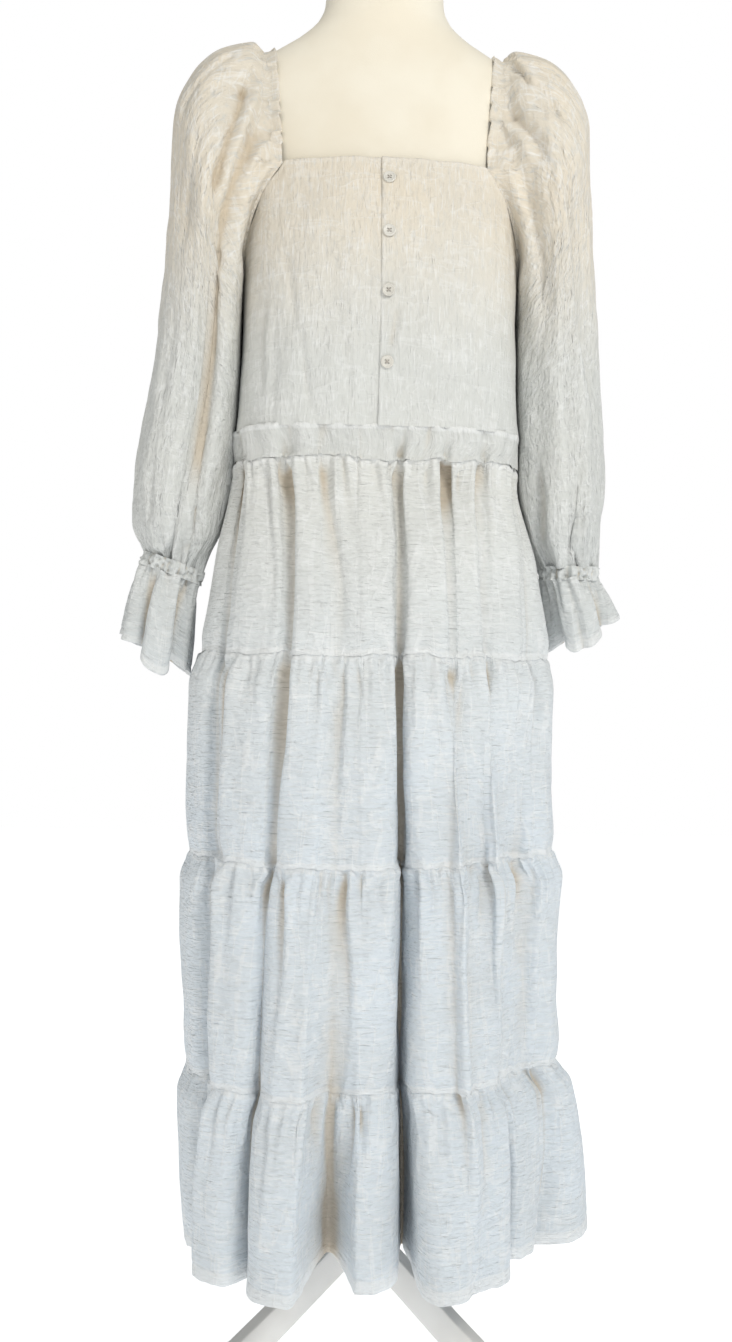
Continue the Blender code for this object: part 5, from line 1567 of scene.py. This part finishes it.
def add_buttons(material, thread_material):
    """The buttons down the lapped front, and the thread that sews each one on."""
    mesh = button_mesh()
    points = np.array([tuple(vertex.co) for vertex in mesh.vertices])
    faces = [tuple(face.vertices) for face in mesh.polygons]
    strands, strand_faces = thread_points()
    for number, height in enumerate(BUTTON_HEIGHTS, start=1):
        half, _, _, square = read_table(BODICE_OUTLINE, height)
        turns = np.array((turn_at(half, square, BUTTON_X),))
        spot, outward = surface_frame(BODICE_OUTLINE, turns, np.array((height,)))
        seat = spot[0] + outward[0] * (WALL / 2.0 + SEAM_GAP)
        turn = np.array(Vector(outward[0]).to_track_quat("Z", "Y").to_matrix())
        button = add_mesh(f"dress_button_{number}", points @ turn.T + seat, faces, material)
        button.data.set_sharp_from_angle(angle=SHARP_TURN)
        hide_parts(f"button_{number}")
        thread = add_mesh(f"button_thread_{number}", strands @ turn.T + seat, strand_faces, thread_material)


def add_camera():
    """The camera at the photograph's place."""
    azimuth = math.radians(CAMERA_AZIMUTH)
    spot = Vector((math.sin(azimuth) * CAMERA_DISTANCE, -math.cos(azimuth) * CAMERA_DISTANCE, CAMERA_HEIGHT))
    heading = azimuth + math.atan(CAMERA_PAN / CAMERA_FOCAL)
    turn = Matrix.Rotation(heading, 4, "Z") @ Matrix.Rotation(math.pi / 2.0, 4, "X")
    turn = turn @ Matrix.Rotation(math.radians(CAMERA_ROLL), 4, "Z")
    data = bpy.data.cameras.new("camera")
    data.sensor_width = SENSOR
    data.lens = CAMERA_FOCAL / FRAME_HEIGHT * SENSOR
    camera = add_object("camera", data)
    camera.matrix_world = Matrix.Translation(spot + Vector(AXIS)) @ turn
    bpy.context.scene.camera = camera


def add_light(name, spot, target, size, energy, colour):
    """A soft square light."""
    data = bpy.data.lights.new(name, "AREA")
    data.size = size
    data.energy = energy
    data.color = colour
    light = add_object(name, data)
    light.location = spot
    light.rotation_euler = (Vector(target) - Vector(spot)).to_track_quat("-Z", "Y").to_euler()


def glowing_material(name, grey, roughness, specular, glow):
    """A plain grey surface with a white glow of its own."""
    material, tree, shader = new_material(name, roughness, specular)
    fill_inputs(tree, shader, {"Base Color": (grey, grey, grey, 1.0), "Emission Color": (1.0, 1.0, 1.0, 1.0),
                               "Emission Strength": glow})
    return material


def add_stage():
    """A pale floor, and a white surround that only the camera sees."""
    mesh = bpy.data.meshes.new("floor")
    corners = [(x * FLOOR_HALF, y * FLOOR_HALF, 0.0) for x, y in ((-1, -1), (1, -1), (1, 1), (-1, 1))]
    mesh.from_pydata(corners, [], [(0, 1, 2, 3)])
    mesh.materials.append(glowing_material("floor_white", 0.80, 0.9, 0.1, FLOOR_GLOW))
    floor = add_object("floor", mesh)
    shell = bmesh.new()
    bmesh.ops.create_uvsphere(shell, u_segments=48, v_segments=24, radius=SURROUND_RADIUS)
    mesh = bpy.data.meshes.new("surround")
    shell.to_mesh(mesh)
    shell.free()
    mesh.materials.append(glowing_material("surround_white", 0.0, 1.0, 0.0, 1.0))
    surround = add_object("surround", mesh)
    surround.visible_diffuse = False
    surround.visible_glossy = False
    surround.visible_transmission = False
    surround.visible_shadow = False
    world = bpy.data.worlds.new("studio")
    world.use_nodes = True
    tree = world.node_tree
    fill_inputs(tree, tree.nodes["Background"], {"Color": WORLD_COLOUR, "Strength": WORLD_LIGHT})
    bpy.context.scene.world = world


def build():
    """Make every piece, the stage, the lights and the camera."""
    gauzes = {name: gauze(f"gauze_{name}", *settings) for name, settings in GAUZES.items()}
    finishes = {name: plain_finish(name, *settings) for name, settings in FINISHES.items()}
    pieces = [waistband(gauzes["band"])]
    pieces += [skirt_tier(number, gauzes["skirt"]) for number in range(4)]
    for side in SIDE_WORDS:
        pieces.append(bodice_front(side, gauzes["bodice"]))
        pieces.append(sleeve(side, gauzes["sleeve"]))
        pieces.append(wrist_band(side, gauzes["band"]))
        pieces.append(cuff_ruffle(side, gauzes["ruffle"]))
    pieces.append(bodice_back(gauzes["bodice"]))
    dress_form(finishes["form_cover"])
    stand(finishes["stand_paint"])
    add_buttons(finishes["button_shell"], finishes["button_thread"])
    add_stage()
    for name, settings in LAMPS.items():
        add_light(name, *settings)
    add_camera()
    bpy.context.scene.view_settings.view_transform = "Standard"


build()
